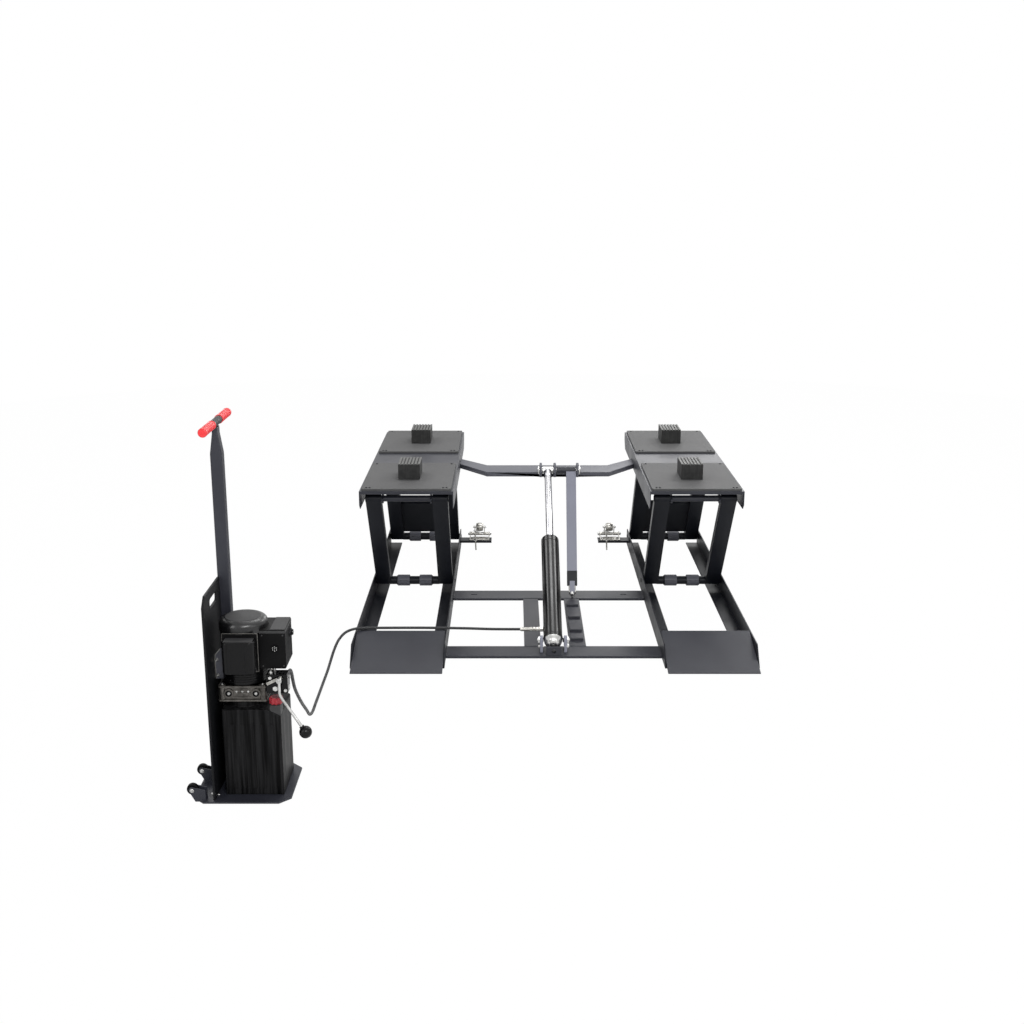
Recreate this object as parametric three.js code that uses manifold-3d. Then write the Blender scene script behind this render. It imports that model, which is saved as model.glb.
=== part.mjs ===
// Portable low-rise car lift: two decks on parallel leg frames, one hydraulic cylinder between
// them, a lock leg over a ladder plate, and a power unit on its own small cart, joined by a hose.
// Millimetres, +Z up, +Y towards the rear of the lift. The origin is on the floor, on the lift's
// centreline, under the middle of the mid cross member.
import * as THREE from 'three';
import { mergeVertices } from 'three/addons/utils/BufferGeometryUtils.js';
import Module from 'manifold-3d';

const wasm = await Module();
wasm.setup();

// General clearances
const seatGap = 0.3;
const boreGap = 0.6;
const overrun = 4;
const motorSteps = 36;
const roundSteps = 20;
const smallSteps = 12;

// Base frames: two angle rails a side, joined by the shafts that the leg frames turn on
const baseOuterX = 895;
const baseInnerX = 481;
const railHeight = 88;
const railFlange = 69;
const railWall = 6;
const railFrontY = -982;
const railRearY = 970;
const railNose = 70;
const shaftZ = 55;
const shaftRadius = 15;
const frontShaftY = 105;
const rearShaftY = 934;

// Ramps
const rampFrontY = -1045;
const rampRearY = -746;
const rampSheet = 5;
const rampHeight = 90;
const rampLip = 16;
const rampSideGap = 1;

// Cross members, tie plate and ladder plate, all flat bars on the floor
const memberThick = 12;
const frontMemberY = -799.5;
const memberDepth = 125;
const memberSlotX = 380;
const memberSlotLength = 30;
const memberSlotWidth = 9;
const tiePlateX = -92.5;
const ladderX = 112.5;
const plateWidth = 76;
const ladderBlockWidth = 58;
const ladderBlockThick = 12;
const ladderBlockFrontYs = [-189, -368, -548, -667];
const ladderBlockRearYs = [-133.5, -235.5, -418, -602];
const ladderBlockBevel = 4;

// Cylinder, from its base trunnion to the top pin
const cylinderX = -2;
const basePinY = -788;
const basePinZ = 60;
const topPinFromPivot = 532;
const topPinHeight = 16;
const topPinRadius = 12.5;
const tubeRadius = 42.5;
const tubeBoreRadius = 35.5;
const tubeLength = 650;
const tubeBaseWall = 50;
const domeRadius = 41;
const glandLength = 34;
const rodRadius = 18;
const pistonRadius = 34;
const pistonLength = 40;
const pistonSeat = 20;
const eyeRadius = 19;
const eyeHalfWidth = 28;
const baseEarThick = 12;
const baseEarInnerX = 48;
const baseEarRadius = 20;
const baseEarFootHalf = 32;
const trunnionRadius = 10;
const trunnionHead = 16;
const trunnionHeadThick = 9;

// Tow socket in front of the cylinder
const towHalfWidth = 34;
const towFrontY = -861;
const towRearY = -838;
const towFrontTopZ = 55;
const towRearTopZ = 38;
const towHoleRadius = 10;
const towHoleZ = 33;

// Leg frames
const legLength = 660;
const legAngle = 54;
const legWidth = 74;
const legDepth = 40;
const legSideGap = 5;
const knuckleRadius = 25;
const knuckleLength = 65;
const knuckleInset = 34;
const sleeveRadius = 21;
const panelSheet = 4;
const panelStart = 45;
const panelEnd = 310;
const panelFlange = 28;

// Decks
const deckInnerX = 462.5;
const deckOuterX = 906;
const deckSheet = 4;
const deckAbovePivot = 56;
const deckNoseLength = 90;
const deckLength = 1423;
const skirtDepth = 90;
const skirtCornerCut = 45;
const lipDepth = 15;
const hangerThick = 8;
const hangerGap = 3;
const hangerRadius = 24;
const hangerTopHalf = 45;

// Traction plates and rubber blocks
const tractionThick = 10;
const tractionEdge = 10;
const frontTractionLength = 555;
const rearTractionLength = 570;
const tractionCorner = 10;
const blockWidth = 105;
const blockLength = 160;
const blockHeight = 76;
const blockRibs = 7;
const blockGroove = 4;
const blockRibShare = 0.62;
const frontBlockInset = 279;
const rearBlockInset = 291;

// Cross bar between the decks, and the ears on it
const barFromPivot = 563;
const barDepth = 163;
const barDropDepth = 26;
const barThick = 24;
const barStraightX = 317;
const barEndShiftLength = 190;
const barEndDepth = 130;
const earThick = 12;
const earGap = 2;
const earRadius = 38;
const earFoot = 60;
const lockEarX = 151;
const pinEndLength = 10;

// Lock leg
const lockReach = 634;
const lockAngle = 62.3;
const lockWidth = 50;
const lockDepth = 28;
const lockSleeveRadius = 15.6;
const lockTaper = 110;
const lockTipDepth = 20;
const lockRollerRadius = 12;
const lockTipGap = 30;

// Transport casters at the rear of the inner rails
const shelfFrontY = 795;
const shelfRearY = 865;
const shelfReach = 178;
const shelfZ = 61;
const shelfThick = 6;
const shelfLip = 7;
const casterPivotY = 890;
const casterPivotZ = 82;
const casterEarSpan = 104;
const casterEarThick = 4;
const casterEarRadius = 13;
const casterBracketSheet = 4;
const casterMidX = 372;
const casterPinRadius = 5;
const forkArm = 40;
const forkSpan = 50;
const forkSheet = 4;
const forkArmHalf = 8;
const forkTubeRadius = 9;
const casterWheelRadius = 24.5;
const casterWheelWidth = 40;
const casterAxleRadius = 4;

// Cart of the power unit
const cartLeftX = -1284;
const cartRightX = -948;
const cartFrontY = -2223;
const cartRearY = -1917;
const cartSheet = 6;
const cartCorner = 38;
const sidePlateX = -1210;
const sidePlateThick = 8;
const sidePlateFrontY = -2208;
const sidePlateHeight = 728;
const sidePlateCorner = 32;
const slotFrontY = -2117;
const slotRearY = -2012;
const slotLowZ = 668;
const slotHighZ = 702;
const slotCorner = 12;
const postX = -1192.5;
const postY = -1940;
const postSide = 41;
const postTaperLength = 71;
const postNeckLength = 36;
const postNeckSide = 20;
const handleZ = 1276;
const handleLength = 384;
const handleRadius = 10.5;
const handleCollarRadius = 13.5;
const gripLength = 138;
const gripRadius = 15.5;
const gripEndWall = 5;
const cartWheelRadius = 20;
const cartWheelWidth = 18;
const cartWheelX = -1284;
const cartWheelZ = 45;
const cartWheelYs = [-2198, -2048];
const cartWheelEarThick = 4;
const cartWheelEarGap = 2;
const cartAxleRadius = 5;
const cartEarRadius = 12;
const cartEarFoot = 46;

// Power unit
const tankGap = 29;
const tankWidth = 201;
const tankFrontReach = 100;
const tankRearReach = 100;
const tankHeight = 316;
const tankSlopeRun = 47;
const tankSlopeDrop = 23;
const tankRibs = 5;
const tankRibDepth = 2;
const tankRibWidth = 14;
const tankRibMargin = 26;
const neckSideReach = 112;
const neckFrontReach = 66;
const tankNeckRadius = 17;
const tankNeckTopZ = 336;
const capRadius = 24;
const capHeight = 22;
const motorInset = 70;
const motorFromCart = 157;
const motorRadius = 79;
const blockBottomZ = 346;
const valveBlockHeight = 56;
const valveBlockHalf = 83.5;
const neckRadius = 74;
const motorTopZ = 584;
const motorCapRadius = 83;
const motorCapTopZ = 624;
const motorCapRound = 20;
const capacitorSideShift = 1.5;
const capacitorWidth = 111;
const capacitorFrontReach = 130;
const capacitorRearReach = 62;
const capacitorLowZ = 450;
const capacitorHighZ = 556;
const capacitorCorner = 22;
const controlNearReach = 61;
const controlFarReach = 150;
const controlFrontReach = 54;
const controlRearReach = 74;
const controlLowZ = 455;
const controlHighZ = 595;
const controlCorner = 5;
const buttonRearReach = 44;
const buttonZ = 552;
const buttonRadius = 10;
const buttonHeight = 18;
const buttonWell = 11;
const buttonTravel = 4;
const bracketFrontReach = 34;
const bracketSheet = 4;
const bracketLowZ = 411;
const bracketShoulderZ = 497;
const bracketHighZ = 521;
const manifoldNearReach = 85;
const manifoldFarReach = 157;
const manifoldFrontReach = 84;
const manifoldRearReach = 35;
const manifoldLowZ = 376;
const manifoldHighZ = 444;
const leverSideReach = 131;
const leverZ = 430;
const leverStandoff = 12;
const leverRodRadius = 5;
const leverDrop = 54;
const leverReachX = 83;
const leverReachZ = 188;
const leverHubRadius = 10;
const leverKnobRadius = 22;
const outletSideReach = 147;
const outletZ = 420;
const outletLength = 24;
const outletRadius = 11;

// Hose from the power unit to the cylinder
const hoseRadius = 6;
const hoseSides = 8;
const hoseSteps = 76;
const fittingLength = 104;
const fittingRadius = 8;
const fittingNutRadius = 12;
const portY = -730;
const portZ = 90.5;

// Values that follow from the sizes above
const rad = THREE.MathUtils.degToRad;
const legRun = legLength * Math.cos(rad(legAngle));
const legRise = legLength * Math.sin(rad(legAngle));
const topPivotZ = shaftZ + legRise;
const frontTopPivotY = frontShaftY - legRun;
const deckTopZ = topPivotZ + deckAbovePivot;
const topPinY = frontTopPivotY + topPinFromPivot;
const topPinZ = topPivotZ + topPinHeight;
const barFrontY = frontTopPivotY + barFromPivot;
const barRearY = barFrontY + barDepth;
const barEndFrontY = barFrontY + barEndShiftLength;
const barEndRearY = barEndFrontY + barEndDepth;
const barBottomZ = topPivotZ - barDropDepth;
const deckFrontY = frontTopPivotY - deckNoseLength;
const deckRearY = deckFrontY + deckLength;
const frontBlockY = deckFrontY + frontBlockInset;
const rearBlockY = deckRearY - rearBlockInset;
const innerLegX = baseInnerX + railWall + legSideGap + legWidth / 2;
const outerLegX = baseOuterX - railWall - legSideGap - legWidth / 2;
const deckMidX = (deckInnerX + deckOuterX) / 2;
const cylinderLength = Math.hypot(topPinY - basePinY, topPinZ - basePinZ);
const tankLeftX = sidePlateX + sidePlateThick / 2 + tankGap;
const tankRightX = tankLeftX + tankWidth;
const motorX = tankLeftX + motorInset;
const motorY = cartFrontY + motorFromCart;
const tankFrontY = motorY - tankFrontReach;
const tankRearY = motorY + tankRearReach;
const tankNeckX = motorX + neckSideReach;
const tankNeckY = motorY - neckFrontReach;
const capacitorX = motorX + capacitorSideShift;
const capacitorFrontY = motorY - capacitorFrontReach;
const capacitorRearY = motorY - capacitorRearReach;
const controlLeftX = motorX + controlNearReach;
const controlRightX = motorX + controlFarReach;
const controlFrontY = motorY - controlFrontReach;
const controlRearY = motorY + controlRearReach;
const buttonY = motorY + buttonRearReach;
const bracketY = motorY - bracketFrontReach;
const manifoldLeftX = motorX + manifoldNearReach;
const manifoldRightX = motorX + manifoldFarReach;
const manifoldFrontY = motorY - manifoldFrontReach;
const manifoldRearY = motorY - manifoldRearReach;
const leverX = motorX + leverSideReach;
const outletX = motorX + outletSideReach;
const postNeckZ = handleZ - postNeckLength;
const postShoulderZ = postNeckZ - postTaperLength;
const cylinderAngle = Math.atan2(topPinZ - basePinZ, topPinY - basePinY);

const group = new THREE.Group();

// Vertices closer than this are one vertex
const mergeDistance = 0.001;

// Geometry helpers: a solid is a closed mesh without normals or uvs, with shared vertices

function closed(geometry) {
  const bare = geometry.index ? geometry.clone() : geometry;
  bare.deleteAttribute('normal');
  bare.deleteAttribute('uv');
  return mergeVertices(bare, mergeDistance);
}

function toManifold(geometry) {
  const merged = closed(geometry);
  return new wasm.Manifold(new wasm.Mesh({
    numProp: 3,
    vertProperties: new Float32Array(merged.attributes.position.array),
    triVerts: new Uint32Array(merged.index.array),
  }));
}

function fromManifold(solid) {
  const mesh = solid.getMesh();
  const geometry = new THREE.BufferGeometry();
  geometry.setAttribute('position', new THREE.BufferAttribute(new Float32Array(mesh.vertProperties), 3));
  geometry.setIndex(new THREE.BufferAttribute(new Uint32Array(mesh.triVerts), 1));
  return geometry;
}

function join(...geometries) {
  return fromManifold(geometries.map(toManifold).reduce((a, b) => a.add(b)));
}

function cut(geometry, ...tools) {
  return fromManifold(tools.map(toManifold).reduce((a, b) => a.subtract(b), toManifold(geometry)));
}

function box(x0, x1, y0, y1, z0, z1) {
  const [ax, bx] = [Math.min(x0, x1), Math.max(x0, x1)];
  return new THREE.BoxGeometry(bx - ax, y1 - y0, z1 - z0)
    .translate((ax + bx) / 2, (y0 + y1) / 2, (z0 + z1) / 2);
}

function outline(points) {
  return new THREE.Shape(points.map(([u, v]) => new THREE.Vector2(u, v)));
}

// A profile in Y and Z, from x0 to x1
function alongX(shape, x0, x1, curveSegments = 4) {
  const basis = new THREE.Matrix4().set(0, 0, 1, Math.min(x0, x1), 1, 0, 0, 0, 0, 1, 0, 0, 0, 0, 0, 1);
  const depth = Math.abs(x1 - x0);
  return new THREE.ExtrudeGeometry(shape, { depth, bevelEnabled: false, curveSegments }).applyMatrix4(basis);
}

// A profile in X and Z, from y0 to y1
function alongY(shape, y0, y1, curveSegments = 4) {
  const basis = new THREE.Matrix4().set(1, 0, 0, 0, 0, 0, -1, y1, 0, 1, 0, 0, 0, 0, 0, 1);
  return new THREE.ExtrudeGeometry(shape, { depth: y1 - y0, bevelEnabled: false, curveSegments })
    .applyMatrix4(basis);
}

// A profile in X and Y, from z0 to z1
function alongZ(shape, z0, z1, curveSegments = 4) {
  return new THREE.ExtrudeGeometry(shape, { depth: z1 - z0, bevelEnabled: false, curveSegments })
    .translate(0, 0, z0);
}

function rodX(x0, x1, y, z, radius, steps = roundSteps) {
  return new THREE.CylinderGeometry(radius, radius, Math.abs(x1 - x0), steps)
    .rotateZ(Math.PI / 2).translate((x0 + x1) / 2, y, z);
}

function rodY(x, y0, y1, z, radius, steps = roundSteps) {
  return new THREE.CylinderGeometry(radius, radius, y1 - y0, steps).translate(x, (y0 + y1) / 2, z);
}

function rodZ(x, y, z0, z1, radius, steps = roundSteps) {
  return new THREE.CylinderGeometry(radius, radius, z1 - z0, steps)
    .rotateX(Math.PI / 2).translate(x, y, (z0 + z1) / 2);
}

function roundedRect(halfU, halfV, corner) {
  const shape = new THREE.Shape();
  shape.moveTo(-halfU + corner, -halfV);
  shape.lineTo(halfU - corner, -halfV);
  shape.absarc(halfU - corner, -halfV + corner, corner, -Math.PI / 2, 0, false);
  shape.lineTo(halfU, halfV - corner);
  shape.absarc(halfU - corner, halfV - corner, corner, 0, Math.PI / 2, false);
  shape.lineTo(-halfU + corner, halfV);
  shape.absarc(-halfU + corner, halfV - corner, corner, Math.PI / 2, Math.PI, false);
  shape.lineTo(-halfU, -halfV + corner);
  shape.absarc(-halfU + corner, -halfV + corner, corner, Math.PI, Math.PI * 1.5, false);
  return shape;
}

// A bar with round ends between two points
function capsule([u0, v0], [u1, v1], radius) {
  const heading = Math.atan2(v1 - v0, u1 - u0);
  const shape = new THREE.Shape();
  shape.absarc(u0, v0, radius, heading + Math.PI / 2, heading + Math.PI * 1.5, false);
  shape.absarc(u1, v1, radius, heading - Math.PI / 2, heading + Math.PI / 2, false);
  return shape;
}

function add(name, geometry, colour, roughness, metalness) {
  const solid = closed(geometry);
  solid.computeVertexNormals();
  const material = new THREE.MeshStandardMaterial({ color: colour, roughness, metalness });
  const mesh = new THREE.Mesh(solid, material);
  mesh.name = name;
  group.add(mesh);
}

const paint = [0x2b2d38, 0.45, 0.3];
const lightPaint = [0x6f7180, 0.45, 0.3];
const blackGloss = [0x101012, 0.25, 0.1];
const chrome = [0xd8d8d8, 0.12, 1];
const zinc = [0xb5b3aa, 0.35, 0.9];
const castAluminium = [0x9a948c, 0.45, 0.9];
const rubber = [0x161616, 0.85, 0];
const traction = [0x4b4c4f, 0.8, 0.1];
const redPlastic = [0xc8202a, 0.4, 0];
const blackPlastic = [0x141414, 0.55, 0];

const sides = [['left', -1], ['right', 1]];

// Base frames

function angleRail(outerX, towards) {
  // The upright wall stands on the outer edge, and the flange lies on the floor inside it.
  const profile = outline([
    [railFrontY, 0], [railRearY, 0], [railRearY, railHeight],
    [railFrontY + railNose, railHeight], [railFrontY, railWall],
  ]);
  const wall = alongX(profile, outerX, outerX + towards * railWall);
  const flange = box(outerX, outerX + towards * railFlange, railFrontY, railRearY, 0, railWall);
  return join(wall, flange);
}

function baseFrame(side) {
  const outer = angleRail(side * baseOuterX, -side);
  const inner = angleRail(side * baseInnerX, side);
  const bite = railWall / 2;
  const shafts = [frontShaftY, rearShaftY].map((y) =>
    rodX(side * (baseInnerX + bite), side * (baseOuterX - bite), y, shaftZ, shaftRadius));
  return join(outer, inner, ...shafts);
}

function ramp(side) {
  // The sheet rises from the floor to the rail tops, and ends in a short lip turned down.
  const slope = rampHeight / (rampRearY - rampFrontY);
  const profile = outline([
    [rampFrontY, 0], [rampFrontY + rampLip, 0],
    [rampRearY - rampSheet, rampHeight - rampSheet - slope * rampSheet],
    [rampRearY - rampSheet, rampHeight / 2], [rampRearY, rampHeight / 2], [rampRearY, rampHeight],
    [rampFrontY, rampSheet],
  ]);
  const x0 = baseInnerX + railWall + rampSideGap;
  const x1 = baseOuterX - railWall - rampSideGap;
  const sheet = alongX(profile, side * x0, side * x1);
  const foot = box(
    side * x0, side * x1, rampRearY - rampSheet, rampRearY, railWall + seatGap, rampHeight / 2 + rampSheet);
  return join(sheet, foot);
}

for (const [name, side] of sides) {
  add(`${name}_base_frame`, baseFrame(side), ...paint);
  add(`${name}_ramp`, ramp(side), ...paint);
}

// Cross members and the plates between them

const memberHalfX = baseInnerX - seatGap;

function memberSlot(x, y) {
  return box(
    x - memberSlotLength / 2, x + memberSlotLength / 2, y - memberSlotWidth / 2, y + memberSlotWidth / 2,
    -overrun, memberThick + overrun);
}

function baseEar(side) {
  const shape = new THREE.Shape();
  shape.moveTo(basePinY - baseEarFootHalf, memberThick / 2);
  shape.lineTo(basePinY + baseEarFootHalf, memberThick / 2);
  shape.absarc(basePinY, basePinZ, baseEarRadius, 0, Math.PI, false);
  const x0 = side * baseEarInnerX;
  return alongX(shape, x0, x0 + side * baseEarThick);
}

// A trunnion ends just short of the tube's side, so the tube can leave it.
function trunnion(side) {
  const tip = cylinderX + side * (tubeRadius + seatGap * 2);
  const outer = side * (baseEarInnerX + baseEarThick);
  const head = rodX(
    outer - side * seatGap, outer + side * trunnionHeadThick, basePinY, basePinZ, trunnionHead, 6);
  return join(rodX(tip, outer, basePinY, basePinZ, trunnionRadius), head);
}

function frontMember() {
  const y0 = frontMemberY - memberDepth / 2;
  const bar = box(-memberHalfX, memberHalfX, y0, y0 + memberDepth, 0, memberThick);
  const parts = [bar];
  for (const [, side] of sides) {
    parts.push(baseEar(side), trunnion(side));
  }
  return join(...parts);
}

const midMember = cut(
  box(-memberHalfX, memberHalfX, -memberDepth / 2, memberDepth / 2, 0, memberThick),
  memberSlot(-memberSlotX, 0), memberSlot(memberSlotX, 0));

const plateFrontY = frontMemberY + memberDepth / 2 + seatGap;
const plateRearY = -memberDepth / 2 - seatGap;

function flatPlate(x) {
  return box(x - plateWidth / 2, x + plateWidth / 2, plateFrontY, plateRearY, 0, memberThick);
}

function ladderPlate() {
  const parts = [flatPlate(ladderX)];
  const top = memberThick + ladderBlockThick;
  ladderBlockFrontYs.forEach((y0, i) => {
    const y1 = ladderBlockRearYs[i];
    const profile = outline([
      [y0, memberThick / 2], [y1, memberThick / 2], [y1, top],
      [y0 + ladderBlockBevel, top], [y0, top - ladderBlockBevel],
    ]);
    parts.push(alongX(profile, ladderX - ladderBlockWidth / 2, ladderX + ladderBlockWidth / 2));
  });
  return join(...parts);
}

function towSocket() {
  const profile = outline([
    [towFrontY, memberThick + seatGap], [towRearY, memberThick + seatGap],
    [towRearY, towRearTopZ], [towFrontY, towFrontTopZ],
  ]);
  const solid = alongX(profile, -towHalfWidth, towHalfWidth);
  return cut(solid, rodY(0, towFrontY - overrun, towRearY + overrun, towHoleZ, towHoleRadius));
}

add('front_cross_member', frontMember(), ...paint);
add('mid_cross_member', midMember, ...paint);
add('tie_plate', flatPlate(tiePlateX), ...paint);
add('ladder_plate', ladderPlate(), ...paint);
add('tow_socket', towSocket(), ...paint);

// Leg frames, drawn along the leg from its base pivot and then turned into place

function legPoint(shaftY, along, across = 0) {
  // Along runs up the leg, and across runs square to it, towards the front and down.
  const c = Math.cos(rad(legAngle));
  const s = Math.sin(rad(legAngle));
  return [shaftY - along * c - across * s, shaftZ + along * s - across * c];
}

function legFrame(side, shaftY, withPanel) {
  const foot = legPoint(shaftY, 0);
  const head = legPoint(shaftY, legLength);
  const legX = [innerLegX, outerLegX];
  const parts = legX.map((x) =>
    alongX(capsule(foot, head, legDepth / 2), side * (x - legWidth / 2), side * (x + legWidth / 2)));
  const sleeveStart = innerLegX + legWidth / 2 - overrun;
  const sleeveEnd = outerLegX - legWidth / 2 + overrun;
  parts.push(rodX(side * sleeveStart, side * sleeveEnd, shaftY, shaftZ, sleeveRadius));
  for (const start of [sleeveStart + knuckleInset, sleeveEnd - knuckleInset - knuckleLength]) {
    parts.push(rodX(side * start, side * (start + knuckleLength), shaftY, shaftZ, knuckleRadius));
  }
  const square = (from, to, low, high) => outline([
    legPoint(shaftY, from, low), legPoint(shaftY, from, high),
    legPoint(shaftY, to, high), legPoint(shaftY, to, low),
  ]);
  if (withPanel) {
    const sheet = square(panelStart, panelEnd, -panelSheet / 2, panelSheet / 2);
    const flange = square(panelEnd - panelSheet, panelEnd, -panelFlange / 2, panelFlange / 2);
    parts.push(alongX(sheet, side * sleeveStart, side * sleeveEnd));
    parts.push(alongX(flange, side * sleeveStart, side * sleeveEnd));
  }
  const reach = [side * (baseInnerX - overrun), side * (baseOuterX + overrun)];
  return cut(
    join(...parts),
    rodX(...reach, ...foot, shaftRadius + boreGap),
    rodX(...reach, ...head, shaftRadius + boreGap));
}

for (const [name, side] of sides) {
  add(`${name}_front_leg_frame`, legFrame(side, frontShaftY, false), ...paint);
  add(`${name}_rear_leg_frame`, legFrame(side, rearShaftY, true), ...paint);
}

// Decks: a sheet with skirts, hanger plates beside the legs and the two top shafts

function skirt(x0, x1) {
  const low = deckTopZ - skirtDepth;
  const profile = outline([
    [deckFrontY + skirtCornerCut / 2, low], [deckRearY - skirtCornerCut, low],
    [deckRearY, low + skirtCornerCut], [deckRearY, deckTopZ],
    [deckFrontY, deckTopZ], [deckFrontY, low + skirtCornerCut / 2],
  ]);
  return alongX(profile, x0, x1);
}

function hanger(x0, x1, pivotY) {
  const shape = new THREE.Shape();
  shape.moveTo(pivotY - hangerTopHalf, deckTopZ - deckSheet / 2);
  shape.absarc(pivotY, topPivotZ, hangerRadius, Math.PI, Math.PI * 2, false);
  shape.lineTo(pivotY + hangerTopHalf, deckTopZ - deckSheet / 2);
  return alongX(shape, x0, x1);
}

function deck(side) {
  const inner = side * deckInnerX;
  const outer = side * deckOuterX;
  const parts = [
    box(inner, outer, deckFrontY, deckRearY, deckTopZ - deckSheet, deckTopZ),
    skirt(inner, inner + side * deckSheet),
    skirt(outer - side * deckSheet, outer),
    box(inner, outer, deckFrontY, deckFrontY + deckSheet, deckTopZ - lipDepth, deckTopZ),
    box(inner, outer, deckRearY - deckSheet, deckRearY, deckTopZ - lipDepth, deckTopZ),
  ];
  const shaftEnds = [side * (innerLegX - legWidth / 2), side * (outerLegX + legWidth / 2)];
  for (const pivotY of [frontShaftY - legRun, rearShaftY - legRun]) {
    const near = innerLegX + legWidth / 2 + hangerGap;
    const far = outerLegX - legWidth / 2 - hangerGap;
    parts.push(hanger(side * near, side * (near + hangerThick), pivotY));
    parts.push(hanger(side * (far - hangerThick), side * far, pivotY));
    parts.push(rodX(...shaftEnds, pivotY, topPivotZ, shaftRadius));
  }
  return join(...parts);
}

function tractionPlate(side, y0, length) {
  const halfU = (deckOuterX - deckInnerX) / 2 - tractionEdge;
  const shape = roundedRect(halfU, length / 2, tractionCorner);
  return alongZ(shape, deckTopZ + seatGap, deckTopZ + seatGap + tractionThick, 3)
    .translate(side * deckMidX, y0 + length / 2, 0);
}

function rubberBlock(side, y) {
  const low = deckTopZ + tractionThick + seatGap * 2;
  const top = low + blockHeight;
  const pitch = blockWidth / (blockRibs - 1 + blockRibShare);
  const rib = pitch * blockRibShare;
  const points = [[-blockWidth / 2, low], [blockWidth / 2, low]];
  for (let i = blockRibs - 1; i >= 0; i -= 1) {
    const left = -blockWidth / 2 + i * pitch;
    points.push([left + rib, top], [left, top]);
    if (i > 0) points.push([left, top - blockGroove], [left - pitch + rib, top - blockGroove]);
  }
  return alongY(outline(points), y - blockLength / 2, y + blockLength / 2).translate(side * deckMidX, 0, 0);
}

for (const [name, side] of sides) {
  add(`${name}_deck`, deck(side), ...paint);
  const frontStart = deckFrontY + tractionEdge;
  const rearStart = deckRearY - tractionEdge - rearTractionLength;
  add(`${name}_front_traction_plate`, tractionPlate(side, frontStart, frontTractionLength), ...traction);
  add(`${name}_rear_traction_plate`, tractionPlate(side, rearStart, rearTractionLength), ...traction);
  add(`${name}_front_rubber_block`, rubberBlock(side, frontBlockY), ...rubber);
  add(`${name}_rear_rubber_block`, rubberBlock(side, rearBlockY), ...rubber);
}

// Cross bar with its three ears, and the pin through them

const eyeLeft = cylinderX - eyeHalfWidth;
const eyeRight = cylinderX + eyeHalfWidth;
const leftEar = eyeLeft - earGap - earThick;
const middleEar = eyeRight + earGap;
const lockEar = lockEarX - earThick / 2;

function barEar(x) {
  const shape = new THREE.Shape();
  shape.absarc(topPinY, topPinZ, earRadius, Math.PI / 3, Math.PI * 1.5, false);
  shape.lineTo(barFrontY + overrun, barBottomZ);
  shape.lineTo(barFrontY + earFoot, barBottomZ + barThick / 2);
  shape.lineTo(barFrontY + earFoot, barBottomZ + barThick);
  return alongX(shape, x, x + earThick);
}

function crossBar() {
  const endX = deckInnerX - seatGap;
  const plan = outline([
    [-barStraightX, barFrontY], [barStraightX, barFrontY], [endX, barEndFrontY], [endX, barEndRearY],
    [barStraightX, barRearY], [-barStraightX, barRearY], [-endX, barEndRearY], [-endX, barEndFrontY],
  ]);
  const bar = alongZ(plan, barBottomZ, barBottomZ + barThick);
  const ears = [leftEar, middleEar, lockEar].map(barEar);
  const bore = rodX(
    leftEar - overrun, lockEar + earThick + overrun, topPinY, topPinZ, topPinRadius + boreGap);
  return cut(join(bar, ...ears), bore);
}

add('cross_bar', crossBar(), ...paint);
add('top_pin', rodX(
  leftEar - pinEndLength, lockEar + earThick + pinEndLength, topPinY, topPinZ, topPinRadius), ...chrome);

// Cylinder and rod, drawn upright along +Z from the base trunnion and then leaned back

function lean(geometry) {
  return geometry.rotateX(cylinderAngle - Math.PI / 2).translate(cylinderX, basePinY, basePinZ);
}

function turned(profile, steps = roundSteps) {
  // A lathe turns about Y, so its axis is stood up along Z.
  const points = profile.map(([r, z]) => new THREE.Vector2(r, z));
  return new THREE.LatheGeometry(points, steps).rotateX(Math.PI / 2);
}

function cylinderTube() {
  const profile = [];
  const domeSteps = 6;
  for (let i = 0; i <= domeSteps; i += 1) {
    const t = (i / domeSteps) * (Math.PI / 2);
    profile.push([domeRadius * Math.sin(t), -domeRadius * Math.cos(t)]);
  }
  profile[0][0] = 0;
  profile.push(
    [tubeRadius, 0], [tubeRadius, tubeLength - glandLength], [tubeBoreRadius, tubeLength - glandLength],
    [tubeBoreRadius, tubeBaseWall], [0, tubeBaseWall]);
  return lean(turned(profile));
}

function glandNut() {
  const low = tubeLength - glandLength + seatGap;
  const chamfer = glandLength / 5;
  return lean(turned([
    [rodRadius + boreGap, low], [tubeRadius, low], [tubeRadius, tubeLength - chamfer],
    [tubeRadius - chamfer, tubeLength], [rodRadius + boreGap, tubeLength], [rodRadius + boreGap, low],
  ]));
}

function pistonRod() {
  const pistonTop = tubeLength - glandLength - pistonSeat;
  const rod = turned([
    [0, pistonTop - pistonLength], [pistonRadius, pistonTop - pistonLength], [pistonRadius, pistonTop],
    [rodRadius, pistonTop], [rodRadius, cylinderLength - eyeRadius / 2], [0, cylinderLength - eyeRadius / 2],
  ]);
  const eye = rodX(-eyeHalfWidth, eyeHalfWidth, 0, cylinderLength, eyeRadius);
  const bore = rodX(
    -eyeHalfWidth - overrun, eyeHalfWidth + overrun, 0, cylinderLength, topPinRadius + boreGap);
  return lean(cut(join(rod, eye), bore));
}

add('cylinder_tube', cylinderTube(), ...blackGloss);
add('gland_nut', glandNut(), ...blackGloss);
add('piston_rod', pistonRod(), ...chrome);

// Lock leg, drawn along its own length and then turned about the top pin

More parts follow.
